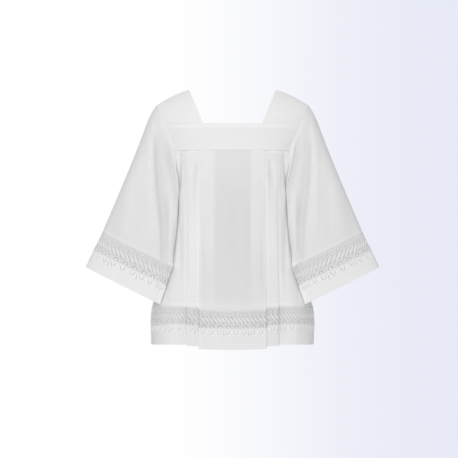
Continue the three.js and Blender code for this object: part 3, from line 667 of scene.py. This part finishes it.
def make_lace(name, *border):
    """Openwork: a net between cords, with leaning leaves and slots, ovals above and arches below."""
    lace = Border(*border)
    for b, width, height in [(0.9, 1.7, 0.6), (3.4, 0.7, 0.4), (57.4, 1.0, 0.45), (59.0, 1.7, 0.7)]:
        lace.cord(b, width, height)
    for slope in (-1, 1):
        for a, b, steps in net_runs(slope):
            t = np.linspace(0, steps, (steps + 1) // 2 + 1) * NET
            lace.put(a + slope * t, b + t, 0.62, 0.3, section=RIDGE)
    # The leaves are painted lighter than the net: painted light on raised satin stitch.
    for start in LEAVES:
        b = mix(LEAF_TOP, LEAF_FOOT, ALONG)
        lace.put(leaf_line(start, b), b, 2.7 * LENS, 0.8 * LENS + 0.1, tint=1.08)
        b = mix(LEAF_TOP + 3, LEAF_FOOT - 3, ALONG)
        lace.put(leaf_line(start, b) + SLOT_AWAY + SLOT_HALF + 1.0, b, 1.3 * LENS, 0.5)
    turn = np.linspace(0, 2 * np.pi, 15)
    for x, y, half_x, half_y in OVALS:
        lace.put(x + half_x * np.sin(turn), y - half_y * np.cos(turn), 1.1, 0.5)
    x, y, dot, radius = ARCH
    arc = np.linspace(-0.1, 1.1, 13) * np.pi
    lace.put(x - radius * np.cos(arc), y - radius * np.sin(arc), 1.5, 0.6)
    # The arch's dot is painted lighter: painted light on raised satin stitch.
    lace.put(x + 1.6 * dot * (ALONG - 0.5), y + 0 * ALONG, 1.6 * dot * LENS, 1.3 * LENS, tint=1.1)
    return lace.finish(name)


def make_teeth(name, *border):
    """Raised embroidery under the lace: a cord, and in each repeat a V of eyelets, drawn as dark
    ribbons in painted shade, and a dot.
    """
    teeth = Border(*border)
    lift = HEM / 2 - 0.1
    # Painted light on the raised cord, the eyelets' rims, the dot and the strokes; the eyelets are
    # dark ribbons in painted shade, for the shade seen through a slit.
    teeth.cord(1.2, 2.0, 0.6, lift, tint=1.06)
    for top, foot, b0, b1, width in [(3.6, 9.4, 3.5, 21.0, 2.3), (17.4, 11.8, 3.0, 20.0, 2.9)]:
        a, b = mix(top, foot, ALONG), mix(b0, b1, ALONG)
        teeth.put(a, b, width * LENS, 0.18, lift, tint=0.62)
        for side in (-1, 1):
            bow = side * (0.5 + width / 2 * LENS)
            teeth.put(a + bow, b, 1.1, 0.6, lift, tint=1.06)
    teeth.put(15.8 + 4.6 * (ALONG - 0.5), 19.0 + 0 * ALONG, 5.6 * LENS, 1.3 * LENS, lift, tint=1.12)
    for a, top, foot in [(0.4, 5.0, 15.0), (10.6, 4.0, 11.0), (21.6, 4.0, 14.0)]:
        teeth.put(a + 0 * ALONG, mix(top, foot, ALONG), 2.0 * LENS, 0.6 * LENS + 0.1, lift, tint=1.08)
    # Every third repeat, one more eyelet as a dark ribbon in painted shade.
    teeth.starts = teeth.starts[::3]
    teeth.put(24.0 + 0 * ALONG, mix(3.5, 26.0, ALONG), 2.6 * LENS, 0.18, lift, tint=0.62)
    return teeth.finish(name)


STITCH, STITCH_STEP = 2.2, 3.0
HEM_STITCHED = (HEM_WIDTH - 6, HEM_WIDTH - 16)  # levels down a hem band


def make_stitches(name, surface, levels, lift, tint):
    """Rows of stitches all along a surface, at some levels, with painted light or painted shade on
    them.
    """
    threads = Threads(surface)
    middle = np.arange(surface.s[0] + STITCH_STEP, surface.s[-1] - STITCH_STEP, STITCH_STEP)
    s = middle[:, None] + STITCH * np.array([-0.5, 0.0, 0.5])
    for b in levels:
        b = np.full(s.shape, b)
        threads.ribbon(s, b, 0.7, [0.1, 0.3, 0.1], lift - 0.03, section=RIDGE, tint=tint)
    return threads.finish(name)


# ---- materials ----
WEAVE = 0.0011  # metres from thread to thread
ROUGHNESS = 0.82  # of cotton


class Field:
    """A socket's value in a material, with the arithmetic that adds nodes for it."""

    def __init__(self, paint, socket):
        self.paint = paint
        self.socket = socket

    def op(self, operation, *others):
        return self.paint.node("ShaderNodeMath", [self, *others], operation=operation)

    def __add__(self, other):
        return self.op("ADD", other)

    def __sub__(self, other):
        return self.op("SUBTRACT", other)

    def __mul__(self, other):
        return self.op("MULTIPLY", other)

class Nodes:
    """A node tree, and the one method that adds nodes to it."""

    def __init__(self, tree):
        self.tree = tree

    def node(self, kind, inputs=(), output=0, **settings):
        """Adds a node; inputs is a list by place or a dict by name, of fields or constants."""
        made = self.tree.nodes.new(kind)
        for key, value in settings.items():
            setattr(made, key, value)
        items = inputs.items() if isinstance(inputs, dict) else enumerate(inputs)
        for key, value in items:
            if isinstance(value, Field):
                self.tree.links.new(value.socket, made.inputs[key])
            else:
                made.inputs[key].default_value = value
        return Field(self, made.outputs[output])

    def part(self, vector, axis):
        """One number of a vector."""
        return self.node("ShaderNodeSeparateXYZ", [vector], output=axis)

    def ramp(self, value, low, high):
        """How far a value is on its way from low to high, from 0 to 1."""
        inputs = [value, low, high, 0.0, 1.0]
        return self.node("ShaderNodeMapRange", inputs, interpolation_type="SMOOTHSTEP")

    def blend(self, factor, low, high):
        inputs = {0: factor, 6: low, 7: high}
        return self.node("ShaderNodeMix", inputs, output=2, data_type="RGBA")


class Paint(Nodes):
    """A procedural material of one principled surface."""

    def __init__(self, name, constants):
        self.material = bpy.data.materials.new(name)
        self.material.use_nodes = True
        super().__init__(self.material.node_tree)
        self.surface = self.tree.nodes["Principled BSDF"]
        for key, value in constants.items():
            self.surface.inputs[key].default_value = value

    def attribute(self, name, output="Vector"):
        return self.node("ShaderNodeAttribute", output=output, attribute_name=name)

    def scaled(self, vector, sizes):
        return self.node("ShaderNodeVectorMath", [vector, sizes], operation="MULTIPLY")

    def phases(self, place, length):
        """A place along and down the cloth, as angles that turn round once in each length."""
        turns = 2 * np.pi / length
        angles = self.scaled(place, (turns, turns, 0))
        return self.part(angles, 0), self.part(angles, 1)

    def noise(self, vector, scale, detail):
        inputs = {"Vector": vector, "Scale": scale, "Detail": detail}
        return self.node("ShaderNodeTexNoise", inputs, output="Fac")

    def link(self, key, value):
        self.tree.links.new(value.socket, self.surface.inputs[key])

    def tinted(self, colour):
        """Takes a colour, made darker or lighter by the mesh's painted light and shade."""
        self.link("Base Color", self.scaled(colour, self.attribute("tint", "Fac")))


def cloth_paint(name, low, high, weave=WEAVE, bump=0.25):
    """Plain woven cotton: threads both ways with slubs, and painted light and shade from the mesh."""
    paint = Paint(name, {"Roughness": ROUGHNESS, "Metallic": 0.0, "Specular IOR Level": 0.25,
                         "Sheen Weight": 0.12, "Sheen Roughness": 0.5})
    place = paint.attribute("cloth")
    across, down = paint.phases(place, weave)
    threads = across.op("SINE") * down.op("SINE")
    weft = paint.noise(paint.scaled(place, (0.12, 1.0, 0)), 900, 1.0)
    warp = paint.noise(paint.scaled(place, (1.0, 0.12, 0)), 800, 1.0)
    slubs = weft + warp
    soft = paint.noise(place, 18, 3.0)
    shade = slubs * 0.22 + soft * 0.5 + threads * 0.04 + 0.02
    colour = paint.blend(paint.node("ShaderNodeClamp", [shade]), low, high)
    paint.tinted(colour)
    height = threads * 0.5 + slubs * 0.9 + soft * 1.5
    inputs = {"Height": height, "Strength": bump, "Distance": 0.0004}
    paint.link("Normal", paint.node("ShaderNodeBump", inputs))
    paint.link("Roughness", slubs * 0.08 + (ROUGHNESS - 0.08))
    return paint.material


def tulle_paint(name, low, high):
    """Fine net: crossing threads with holes between them, painted light and shade from the mesh, and
    soft clouds.
    """
    paint = Paint(name, {"Roughness": 0.8, "Metallic": 0.0, "Specular IOR Level": 0.2})
    place = paint.attribute("cloth")
    across, down = paint.phases(place, WEAVE)
    holes = (across + down).op("SINE") * (across - down).op("SINE")
    soft = paint.noise(place, 60, 2.0)
    colour = paint.blend(soft, low, high)
    paint.tinted(colour)
    paint.link("Alpha", paint.ramp(holes, 0.72, 0.5))
    return paint.material


def grey(value, blue):
    return (value, value, value + blue, 1.0)


woven = cloth_paint("woven_cotton", grey(0.80, 0.004), grey(0.86, 0.004))
# The bands' cotton is painted lighter than the plain cotton: painted light where the doubled cloth
# shows brighter.
turned = cloth_paint("turned_cotton", grey(0.83, 0.004), grey(0.88, 0.004))
# The net is white thread; its grey is painted shade from the dark inside seen through it.
tulle = tulle_paint("tulle", grey(0.50, 0.006), grey(0.62, 0.006))
corded = cloth_paint("lace_thread", grey(0.78, 0.006), grey(0.88, 0.006), weave=0.0007, bump=0.4)


# What a piece's name ends in, its thickness, its material and its finish.
PLAIN = ("cloth", CLOTH, woven, "cloth")
DOUBLED = ("cloth", HEM, woven, "cloth")
TURNED = ("cloth", BAND, turned, "seam_cloth")
OPENWORK = ("net", NET_CLOTH, tulle, "lace")


def sew(node, points, kind, flat, nodes=None, ring=False, tint=1.0, **cut):
    """Makes a piece and hides the parts that it stands for; flat, the size it was cut to, and cut are
    not used.
    """
    ending, thickness, material, slot = kind
    thing = shell(f"{node}_{ending}", points, thickness, ring, tint)
    thing.data.materials.append(material)
    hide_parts(*(nodes or [node]))


# ---- build: front and back ----
def yoke_edge(depth):
    part = (depth - NECK_DEPTH) / (YOKE_BOTTOM - NECK_DEPTH)
    return mix(ARMHOLE_ANGLE_TOP, ARMHOLE_ANGLE_YOKE, part)


def angle_inside(angle, depth, width):
    """The angle that lies width nearer the middle than another at the same depth."""
    chord = trunk_plain(-1, angle, depth) - trunk_plain(-1, angle - 1, depth)
    return angle - width / np.linalg.norm(chord, axis=-1)


share = np.linspace(-1, 1, 97)[None]
half = Half(0.25)
body_levels = mix(half.start() + GAP, LACE_TOP - GAP, np.linspace(0, 1, 88)[:, None])
for face, name in NAMES.items():
    points, folds = whole(face, half.at(face, body_levels))
    rows_b = np.linspace(LACE_TOP - 36, LACE_TOP - GAP, 5)
    strip, _ = whole(face, half.at(face, rows_b[:, None]))
    surface = Surface(strip, rows_b, (0, face, 0))
    stitched = (LACE_TOP - 26, LACE_TOP - 13)
    # Painted light on the raised stitches.
    stitches = make_stitches(f"hem_stitches_{name}", surface, stitched, CLOTH / 2, 1.12)
    sew(f"body_{name}", points, PLAIN, (1.1, 0.51), tint=layers_tint(points, folds),
        area=0.465, with_pieces=[stitches])

    rows_b = np.linspace(GAP, LACE_WIDTH - GAP, 13)
    points, s = lace_grid(face, rows_b)
    surface = Surface(points, rows_b, (0, face, 0), s)
    lace = make_lace(f"lace_{name}_threads", surface, REPEAT_STARTS, -face, 0)
    sew(f"lace_{name}", points, OPENWORK, (1.09, 0.06), tint=side_tint(points, *LACE_PAINTED_LIGHT),
        with_pieces=[lace])

    rows_b = np.linspace(LACE_WIDTH + GAP, LACE_WIDTH + HEM_WIDTH, 14)
    points, s = lace_grid(face, rows_b)
    surface = Surface(points, rows_b - LACE_WIDTH, (0, face, 0), s)
    teeth = make_teeth(f"hem_teeth_{name}", surface, REPEAT_STARTS, -face, 0)
    # Painted light on the raised stitches.
    stitches = make_stitches(f"foot_stitches_{name}", surface, HEM_STITCHED, HEM / 2, 1.12)
    sew(f"hem_{name}", points, DOUBLED, (1.12, 0.064), tint=side_tint(points, *HEM_PAINTED_SHADING),
        with_pieces=[teeth, stitches])

    depths = np.linspace(NECK_DEPTH + GAP, YOKE_BOTTOM - GAP, 24)[:, None]
    points = trunk_plain(face, yoke_edge(depths) * share, depths)
    sew(f"yoke_{name}", points, PLAIN, (0.42, 0.087))

    for band, top, foot, long in [("neck", NECK_DEPTH + GAP, NECK_DEPTH + TOP_BAND, 0.43),
                                  ("yoke", YOKE_BOTTOM - BOTTOM_BAND, YOKE_BOTTOM - GAP, 0.385)]:
        depths = np.linspace(top, foot, 6)[:, None]
        edge = angle_inside(yoke_edge(depths), depths, ARMHOLE_BAND + 0.4)
        points = trunk_plain(face, edge * share, depths)
        normals = grid_normals(points)
        outward = np.sign(np.sum(normals * (0, face, 0), axis=-1, keepdims=True))
        points = points + normals * outward * BAND_LIFT
        surface = Surface(points, depths[:, 0], (0, face, 0))
        label = f"{band}_band_stitches_{name}"
        # Painted shade round the band's stitches.
        stitches = make_stitches(label, surface, (top + 2, foot - 2), BAND / 2, 0.94)
        sew(f"{band}_band_{name}", points, TURNED, (long, (foot - top) / 1000),
            tint=BAND_PAINTED_SHADING[band], with_pieces=[stitches])


# ---- build: shoulders ----
def seam_y(angle, turn):
    """y of the yoke's upper edge at an angle, on the face that a turn over the shoulder is on."""
    front, back = (trunk_plain(face, angle, NECK_DEPTH)[..., 1] for face in (-1, 1))
    return np.where(turn <= 90, front, back)


def strap_edge(turn, angle, yoke_x, top_x, top_depth):
    """An edge of the right strap: a quarter of an ellipse up from the front, and down the back."""
    up = np.sin(np.radians(turn))
    y = seam_y(angle, turn) * np.abs(np.cos(np.radians(turn)))
    return stack(-mix(yoke_x, top_x, up), y, -mix(NECK_DEPTH, top_depth, up))


def neck_edge(turn):
    angle = angle_at(NECK_HALF_BOTTOM, NECK_DEPTH)
    return strap_edge(turn, angle, NECK_HALF_BOTTOM, NECK_HALF_TOP, 0)


def shoulder_edge(turn):
    seam = trunk_plain(-1, ARMHOLE_ANGLE_TOP, NECK_DEPTH)[..., 0]
    return strap_edge(turn, ARMHOLE_ANGLE_TOP, seam, SHOULDER_HALF, SHOULDER_DROP)


STRAP_BOW = 5.0  # how far the strap's middle rises over the straight line


def strap_point(share, turn):
    """Straight from the neck's edge to the armhole's, on the trunk's form at the yoke seams."""
    straight = mix(neck_edge(turn), shoulder_edge(turn), share[..., None])
    seam_turn = np.where(turn <= 90, 0.0, 180.0)
    flat = mix(neck_edge(seam_turn), shoulder_edge(seam_turn), share[..., None])
    angle = angle_at(np.abs(flat[..., 0]), NECK_DEPTH)
    across = np.cos(np.radians(turn)) ** 2
    straight[..., 1] += (seam_y(angle, turn) - flat[..., 1]) * across
    straight[..., 2] += STRAP_BOW * 4 * share * (1 - share) * (1 - across)
    return straight


CHEST = (0, 0, -YOKE_BOTTOM)


def lifted(points):
    """Normals of a grid that point away from the middle of the chest."""
    normals = grid_normals(points)
    outward = np.sum(normals * (points - CHEST), axis=-1, keepdims=True)
    return np.where(outward < 0, -normals, normals)


def mirrored(points, side):
    return points * ((1, 1, 1) if side < 0 else (-1, 1, 1))


SIDES = [("right", -1), ("left", 1)]
turns = mix(0.12, 179.88, np.linspace(0, 1, 73))[:, None]
share = np.linspace(0, 1, 34)[None]
strap = strap_point(share, turns)


def armhole_band_points():
    """The band along the armhole's edge: up the front yoke, over the strap, down the back."""
    steps = np.linspace(0, 1, 5)[None]
    depths = np.linspace(NECK_DEPTH, YOKE_BOTTOM - GAP, 14)[:, None]
    edge = yoke_edge(depths)
    angles = mix(angle_inside(edge, depths, ARMHOLE_BAND), edge, steps)
    front, back = (trunk_plain(face, -angles, depths) for face in (-1, 1))
    rows = turns[2:-2]
    width = np.linalg.norm(shoulder_edge(rows) - neck_edge(rows), axis=-1)
    middle = strap_point(mix(1 - ARMHOLE_BAND / width, 1.0, steps), rows)
    return np.concatenate([front[::-1], middle, back])


band_points = armhole_band_points()
band_points = band_points + lifted(band_points) * BAND_LIFT
for name, side in SIDES:
    # The strap is painted a little lighter: painted light.
    sew(f"shoulder_{name}", mirrored(strap, side), PLAIN, (0.13, 0.34), tint=1.02, area=0.036)
    band = mirrored(band_points, side)
    along = band.swapaxes(0, 1)
    surface = Surface(along, np.linspace(0, ARMHOLE_BAND, 5), (side, 0, 1))
    label = f"armhole_band_stitches_{name}"
    # Painted shade round the band's stitches.
    stitches = make_stitches(label, surface, (2, ARMHOLE_BAND - 2), BAND / 2, 0.94)
    sew(f"armhole_band_{name}", band, TURNED, (0.011, 0.435), with_pieces=[stitches])


# ---- build: sleeves ----
PER_SPAN = 40  # points of a curve between two of its places


def centripetal(points):
    """Points of a centripetal Catmull-Rom curve through points, close together."""
    p = np.asarray(points, float)
    p = np.concatenate([[2 * p[0] - p[1]], p, [2 * p[-1] - p[-2]]])
    knots = np.sqrt(np.linalg.norm(np.diff(p, axis=0), axis=1))
    t = np.linspace(0, 1, PER_SPAN, endpoint=False)[:, None]
    lines = []
    for k in range(1, len(p) - 2):
        d0, d1, d2 = knots[k - 1], knots[k], knots[k + 1]
        m1 = (p[k] - p[k - 1]) / d0 - (p[k + 1] - p[k - 1]) / (d0 + d1) + (p[k + 1] - p[k]) / d1
        m2 = (p[k + 1] - p[k]) / d1 - (p[k + 2] - p[k]) / (d1 + d2) + (p[k + 2] - p[k + 1]) / d2
        m1, m2 = m1 * d1, m2 * d1
        cubic = 2 * p[k] - 2 * p[k + 1] + m1 + m2
        square = -3 * p[k] + 3 * p[k + 1] - 2 * m1 - m2
        lines.append(p[k] + m1 * t + square * t**2 + cubic * t**3)
    return np.concatenate([*lines, p[-2:-1]])


def armhole_line(face):
    turn = 90 + face * 90 * np.linspace(0, 1, 7)
    over_shoulder = shoulder_edge(turn)
    depth = mix(NECK_DEPTH, YOKE_BOTTOM, np.linspace(0, 1, 5)[1:])
    down_yoke = trunk_plain(face, -yoke_edge(depth), depth)
    angle, depth = armhole_cut(np.linspace(0, 1, 9)[1:])
    down_body = trunk_plain(face, -angle, depth)
    return centripetal(np.concatenate([over_shoulder, down_yoke, down_body]))


def sleeve_start(around):
    """The first ring, from the outer edge over the front to the armpit and back."""
    result = np.empty((len(around), 3))
    for face, wanted in ((-1, around <= 0.5), (1, around > 0.5)):
        line = armhole_line(face)
        along = np.append(0, np.cumsum(np.linalg.norm(np.diff(line, axis=0), axis=1)))
        place = (1 - np.abs(1 - 2 * around[wanted])) * along[-1]
        result[wanted] = np.stack([np.interp(place, along, line[:, k]) for k in range(3)], axis=1)
    return result - (0.4, 0, 0)


def ring_point(ring, around):
    outer, inner, front, back = ring
    turn = 2 * np.pi * around
    middle = mix(np.array(outer, float), np.array(inner, float), ((1 - np.cos(turn)) / 2)[:, None])
    bulge = np.where(np.sin(turn) > 0, -front, back)
    middle[:, 1] += bulge * np.abs(np.sin(turn)) ** RING_POWER
    return middle


def clear_of_trunk(p, share):
    """Moves points out of the trunk, so that the sleeve hangs just clear of the body."""
    depth = -p[:, 2]
    b = np.where(p[:, 1] < 0, reach[-1](depth), reach[1](depth))
    a = half_width(depth)
    inside = (np.abs(p[:, 0]) / a) ** ROUNDNESS + (np.abs(p[:, 1]) / b) ** ROUNDNESS
    inside = inside ** (1 / ROUNDNESS)
    clearance = mix(0.3, SLEEVE_CLEAR, smooth(share / 0.12))
    below = smooth((depth - NECK_DEPTH) / (YOKE_BOTTOM - NECK_DEPTH))
    scale = np.maximum(1, (1 + below * clearance / b) / inside)
    scale = np.where(depth < NECK_DEPTH, 1, scale)[:, None]
    return p * np.concatenate([scale, scale, np.ones_like(scale)], axis=1)


COLUMNS = 32
SHARES = np.array([0, 0.035, 0.09, 0.16, 0.26, 0.38, 0.52, 0.66, 0.82, 1])  # down to the lace
UNDERARM_BOW = 12.0  # how far the cloth under the arm bows in
TOP_SWELL, TOP_SWELL_AT = 6.5, 0.11  # how far the top swells out, and at which share of its length
ROUNDINGS = 5  # of the cloth under the arm
around = np.arange(COLUMNS) / COLUMNS


def overhang(share):
    """How far the cloth near the underarm hangs in towards the body, and out in front of it."""
    front = np.exp(-(((around - OVERHANG_AT) / OVERHANG_SPREAD) ** 2))
    back = OVERHANG_BEHIND * np.exp(-(((around - 1 + OVERHANG_AT) / OVERHANG_SPREAD) ** 2))
    down = smooth(share * 9) * (1 - share) ** 0.6
    return stack(OVERHANG_IN * (front + back) * down, OVERHANG_OUT * (back - front) * down, 0)


def sleeve_ring(share):
    p = mix(sleeve_start(around), ring_point(SLEEVE_RINGS[0], around), share)
    turn = 2 * np.pi * around
    on_top = np.maximum(0, np.cos(turn)) ** 2
    under = np.maximum(0, -np.cos(turn))
    swell = share / TOP_SWELL_AT * np.exp(1 - share / TOP_SWELL_AT)
    p[:, 0] += UNDERARM_BOW * under**6 * np.sin(np.pi * share) ** 2 - TOP_SWELL * swell * on_top
    p = clear_of_trunk(p + overhang(share), share)
    strength = 0.5 * smooth(share * 12) * smooth((1 - share) * 5) * under[:, None]
    for _ in range(ROUNDINGS):
        between = (np.roll(p, 1, axis=0) + np.roll(p, -1, axis=0)) / 2
        p = clear_of_trunk(mix(p, between, strength), share)
    return p


def round_ring(rows, per_column):
    """The rings with more columns, on cubics round the ring."""
    closed = np.concatenate([rows[:, -2:], rows, rows[:, :3]], axis=1).swapaxes(0, 1)
    wanted = 2 + np.arange(COLUMNS * per_column) / per_column
    return table_curve(np.arange(len(closed)), closed)(wanted).swapaxes(0, 1)


def fold_sleeve(points, sewn=1.0):
    """Folds hang down the front and the back of the sleeve, and fade at its two edges.

    sewn fades them where the sleeve is sewn to the armhole, so that its seam stays shut.
    """
    columns = points.shape[1]
    turn = 2 * np.pi * np.arange(columns) / columns
    away = np.abs(np.sin(turn)) ** 0.5 * sewn
    x, depth = -points[..., 0], -points[..., 2]
    front = soft_folds(SLEEVE_FOLDS[-1], x, depth) * away * (turn < np.pi)
    back = soft_folds(SLEEVE_FOLDS[1], x, depth) * away * (turn > np.pi)
    folded = points.copy()
    folded[..., 1] += back - front
    return folded, front + back


PER_COLUMN = 6
SEWN_SHARE = 0.07  # of the sleeve, in which its folds begin
coarse = np.stack([sleeve_ring(share) for share in SHARES])
cuffs = np.stack([clear_of_trunk(ring_point(ring, around), 1.0) for ring in SLEEVE_RINGS[1:]])
fine = round_ring(np.concatenate([coarse, cuffs]), PER_COLUMN)
down = np.concatenate([np.linspace(0, 0.2, 16)[:-1], np.linspace(0.2, 0.999, 62)])
sewn = smooth(down / SEWN_SHARE)[:, None]
tube, tube_folds = fold_sleeve(table_curve(SHARES, fine[:len(SHARES)])(down), sewn)
# Painted light and shade of the sleeve: lighter over the seam allowance above the cuff, darker down
# the sleeve and in its folds' hollows, lighter on ridges and along the inner edge, where it lifts the
# crevice's shadow.
tube_seam = SEAM_LIGHT * smooth((down - 0.962) / 0.012)[:, None]
places = np.arange(COLUMNS * PER_COLUMN) / (COLUMNS * PER_COLUMN)
inner_edge = np.exp(-(((np.abs(places - 0.5) - 0.02) / 0.035) ** 2)) * smooth(down * 20)[:, None]
tube_tint = 1 - mix(*SLEEVE_PAINTED_SHADE, down)[:, None] + tube_seam + fold_painted_shading(tube_folds)
tube_tint = tube_tint + INNER_LIGHT * inner_edge
cuff_rings = fine[len(SHARES) - 1:]


def cuff_rows(ring, top, foot, rows):
    """Rows between two cuff rings, folded as the sleeve above them is."""
    t = np.linspace(top, foot, rows)[:, None, None]
    return fold_sleeve(mix(cuff_rings[ring][None], cuff_rings[ring + 1][None], t))[0]


SLEEVE_REPEATS = 12  # of the lace round half a sleeve
sleeve_starts = np.arange(SLEEVE_REPEATS) * REPEAT
CORD_MARGIN = 0.3  # so that the cords of a sleeve's two halves don't meet


def sleeve_borders(points, name, side, width):
    """The front and the back half of a ring: its name, its lean, its grid and its surface."""
    closed = np.concatenate([points, points[:, :1]], axis=1)
    middle = COLUMNS * PER_COLUMN // 2
    s = np.linspace(0, SLEEVE_REPEATS * REPEAT, middle + 1)
    rows_b = np.linspace(GAP, width - GAP, len(points))
    for face, first in [(-1, 0), (1, middle)]:
        grid = mirrored(closed[:, first:first + middle + 1], side)
        yield f"{name}_{NAMES[face]}", -face, grid, Surface(grid, rows_b, (0, face, 0), s)


for name, side in SIDES:
    halves = [f"sleeve_{name}_front", f"sleeve_{name}_back"]
    sew(f"sleeve_{name}", mirrored(tube, side), PLAIN, (0.62, 0.48), halves,
        ring=True, tint=tube_tint, area=0.205)
    points = cuff_rows(1, GAP / HEM_WIDTH, 1, 14)
    # The cuff's painted shade, with painted light along its inner edge by the body.
    tint = 1 - CUFF_PAINTED_SHADE + INNER_LIGHT * inner_edge[-1:]
    sewn_on = []
    for part, lean, _, surface in sleeve_borders(points, name, side, HEM_WIDTH):
        teeth = make_teeth(f"sleeve_teeth_{part}", surface, sleeve_starts, lean, CORD_MARGIN)
        # Painted light on the raised stitches.
        stitches = make_stitches(f"cuff_stitches_{part}", surface, HEM_STITCHED, HEM / 2, 1.12)
        sewn_on += [teeth, stitches]
    sew(f"sleeve_hem_{name}", mirrored(points, side), DOUBLED, (0.65, 0.06),
        ring=True, tint=tint, with_pieces=sewn_on)
    points = cuff_rows(0, GAP / LACE_WIDTH, 1 - GAP / LACE_WIDTH, 13)
    for part, lean, grid, surface in sleeve_borders(points, name, side, LACE_WIDTH):
        label = f"sleeve_lace_{part}"
        lace = make_lace(label + "_threads", surface, sleeve_starts, lean, CORD_MARGIN)
        # The sleeve lace is painted lighter: painted light.
        sew(label, grid, OPENWORK, (0.32, 0.06), tint=1.1, with_pieces=[lace])

# ---- stage, light and camera ----
scene = bpy.context.scene
scene.view_settings.view_transform = "Standard"

FLOOR = 3.0  # half its size
FLOOR_DEPTH = -1.9
floor_mesh = bpy.data.meshes.new("floor")
floor_corners = [(-FLOOR, -FLOOR), (FLOOR, -FLOOR), (FLOOR, FLOOR), (-FLOOR, FLOOR)]
floor_mesh.from_pydata([(x, y, FLOOR_DEPTH) for x, y in floor_corners], [], [(0, 1, 2, 3)])
floor_paint = Paint("floor", {"Base Color": (0.8, 0.8, 0.82, 1), "Roughness": 1.0})
floor_mesh.materials.append(floor_paint.material)
floor = bpy.data.objects.new("floor", floor_mesh)
scene.collection.objects.link(floor)

# The studio: soft light from all round, weaker from below, before a pale ground that turns from
# white to a light lavender.
BELOW, ABOVE = 0.2, 0.85
GROUND_LEFT, GROUND_RIGHT = (1, 1, 1, 1), (0.807, 0.823, 0.924, 1)
world = bpy.data.worlds.new("studio")
world.use_nodes = True
scene.world = world
studio = Nodes(world.node_tree)
direction = studio.node("ShaderNodeTexCoord", output="Generated")
height = studio.ramp(studio.part(direction, 2), -0.7, 0.9)
level = studio.blend(height, (BELOW,) * 3 + (1,), (ABOVE,) * 3 + (1,))
ground = studio.blend(studio.ramp(studio.part(direction, 0), -0.07, 0.17), GROUND_LEFT, GROUND_RIGHT)
light = studio.node("ShaderNodeBackground", [level, 1.0])
seen = studio.node("ShaderNodeBackground", [ground, 1.0])
is_seen = studio.node("ShaderNodeLightPath", output="Is Camera Ray")
surface = studio.node("ShaderNodeMixShader", [is_seen, light, seen])
world.node_tree.links.new(surface.socket, world.node_tree.nodes["World Output"].inputs["Surface"])


LAMP_X, LAMP_Y, LAMP_Z = 0.4, 3.6, -0.1
LAMP_SIZE, LAMP_POWER = 1.6, 50
AIM = Vector((0, 0, -0.42))
for name, side in [("front_key", -1), ("back_key", 1)]:
    lamp = bpy.data.lights.new(name, "AREA")
    lamp.shape = "SQUARE"
    lamp.size = LAMP_SIZE
    lamp.energy = LAMP_POWER
    softbox = bpy.data.objects.new(name, lamp)
    softbox.location = (side * LAMP_X, side * LAMP_Y, LAMP_Z)
    softbox.rotation_euler = (AIM - softbox.location).to_track_quat("-Z", "Y").to_euler()
    softbox.visible_camera = False
    scene.collection.objects.link(softbox)

FOCAL_SHARE = 1212 / 458  # focal length over the picture's width
camera = bpy.data.cameras.new("camera")
camera.sensor_width = 36
camera.lens = FOCAL_SHARE * camera.sensor_width
camera_object = bpy.data.objects.new("camera", camera)
camera_object.location = (-0.0115, -4.0, -0.4587)
camera_object.rotation_euler = (np.pi / 2, 0, 0)
scene.collection.objects.link(camera_object)
scene.camera = camera_object
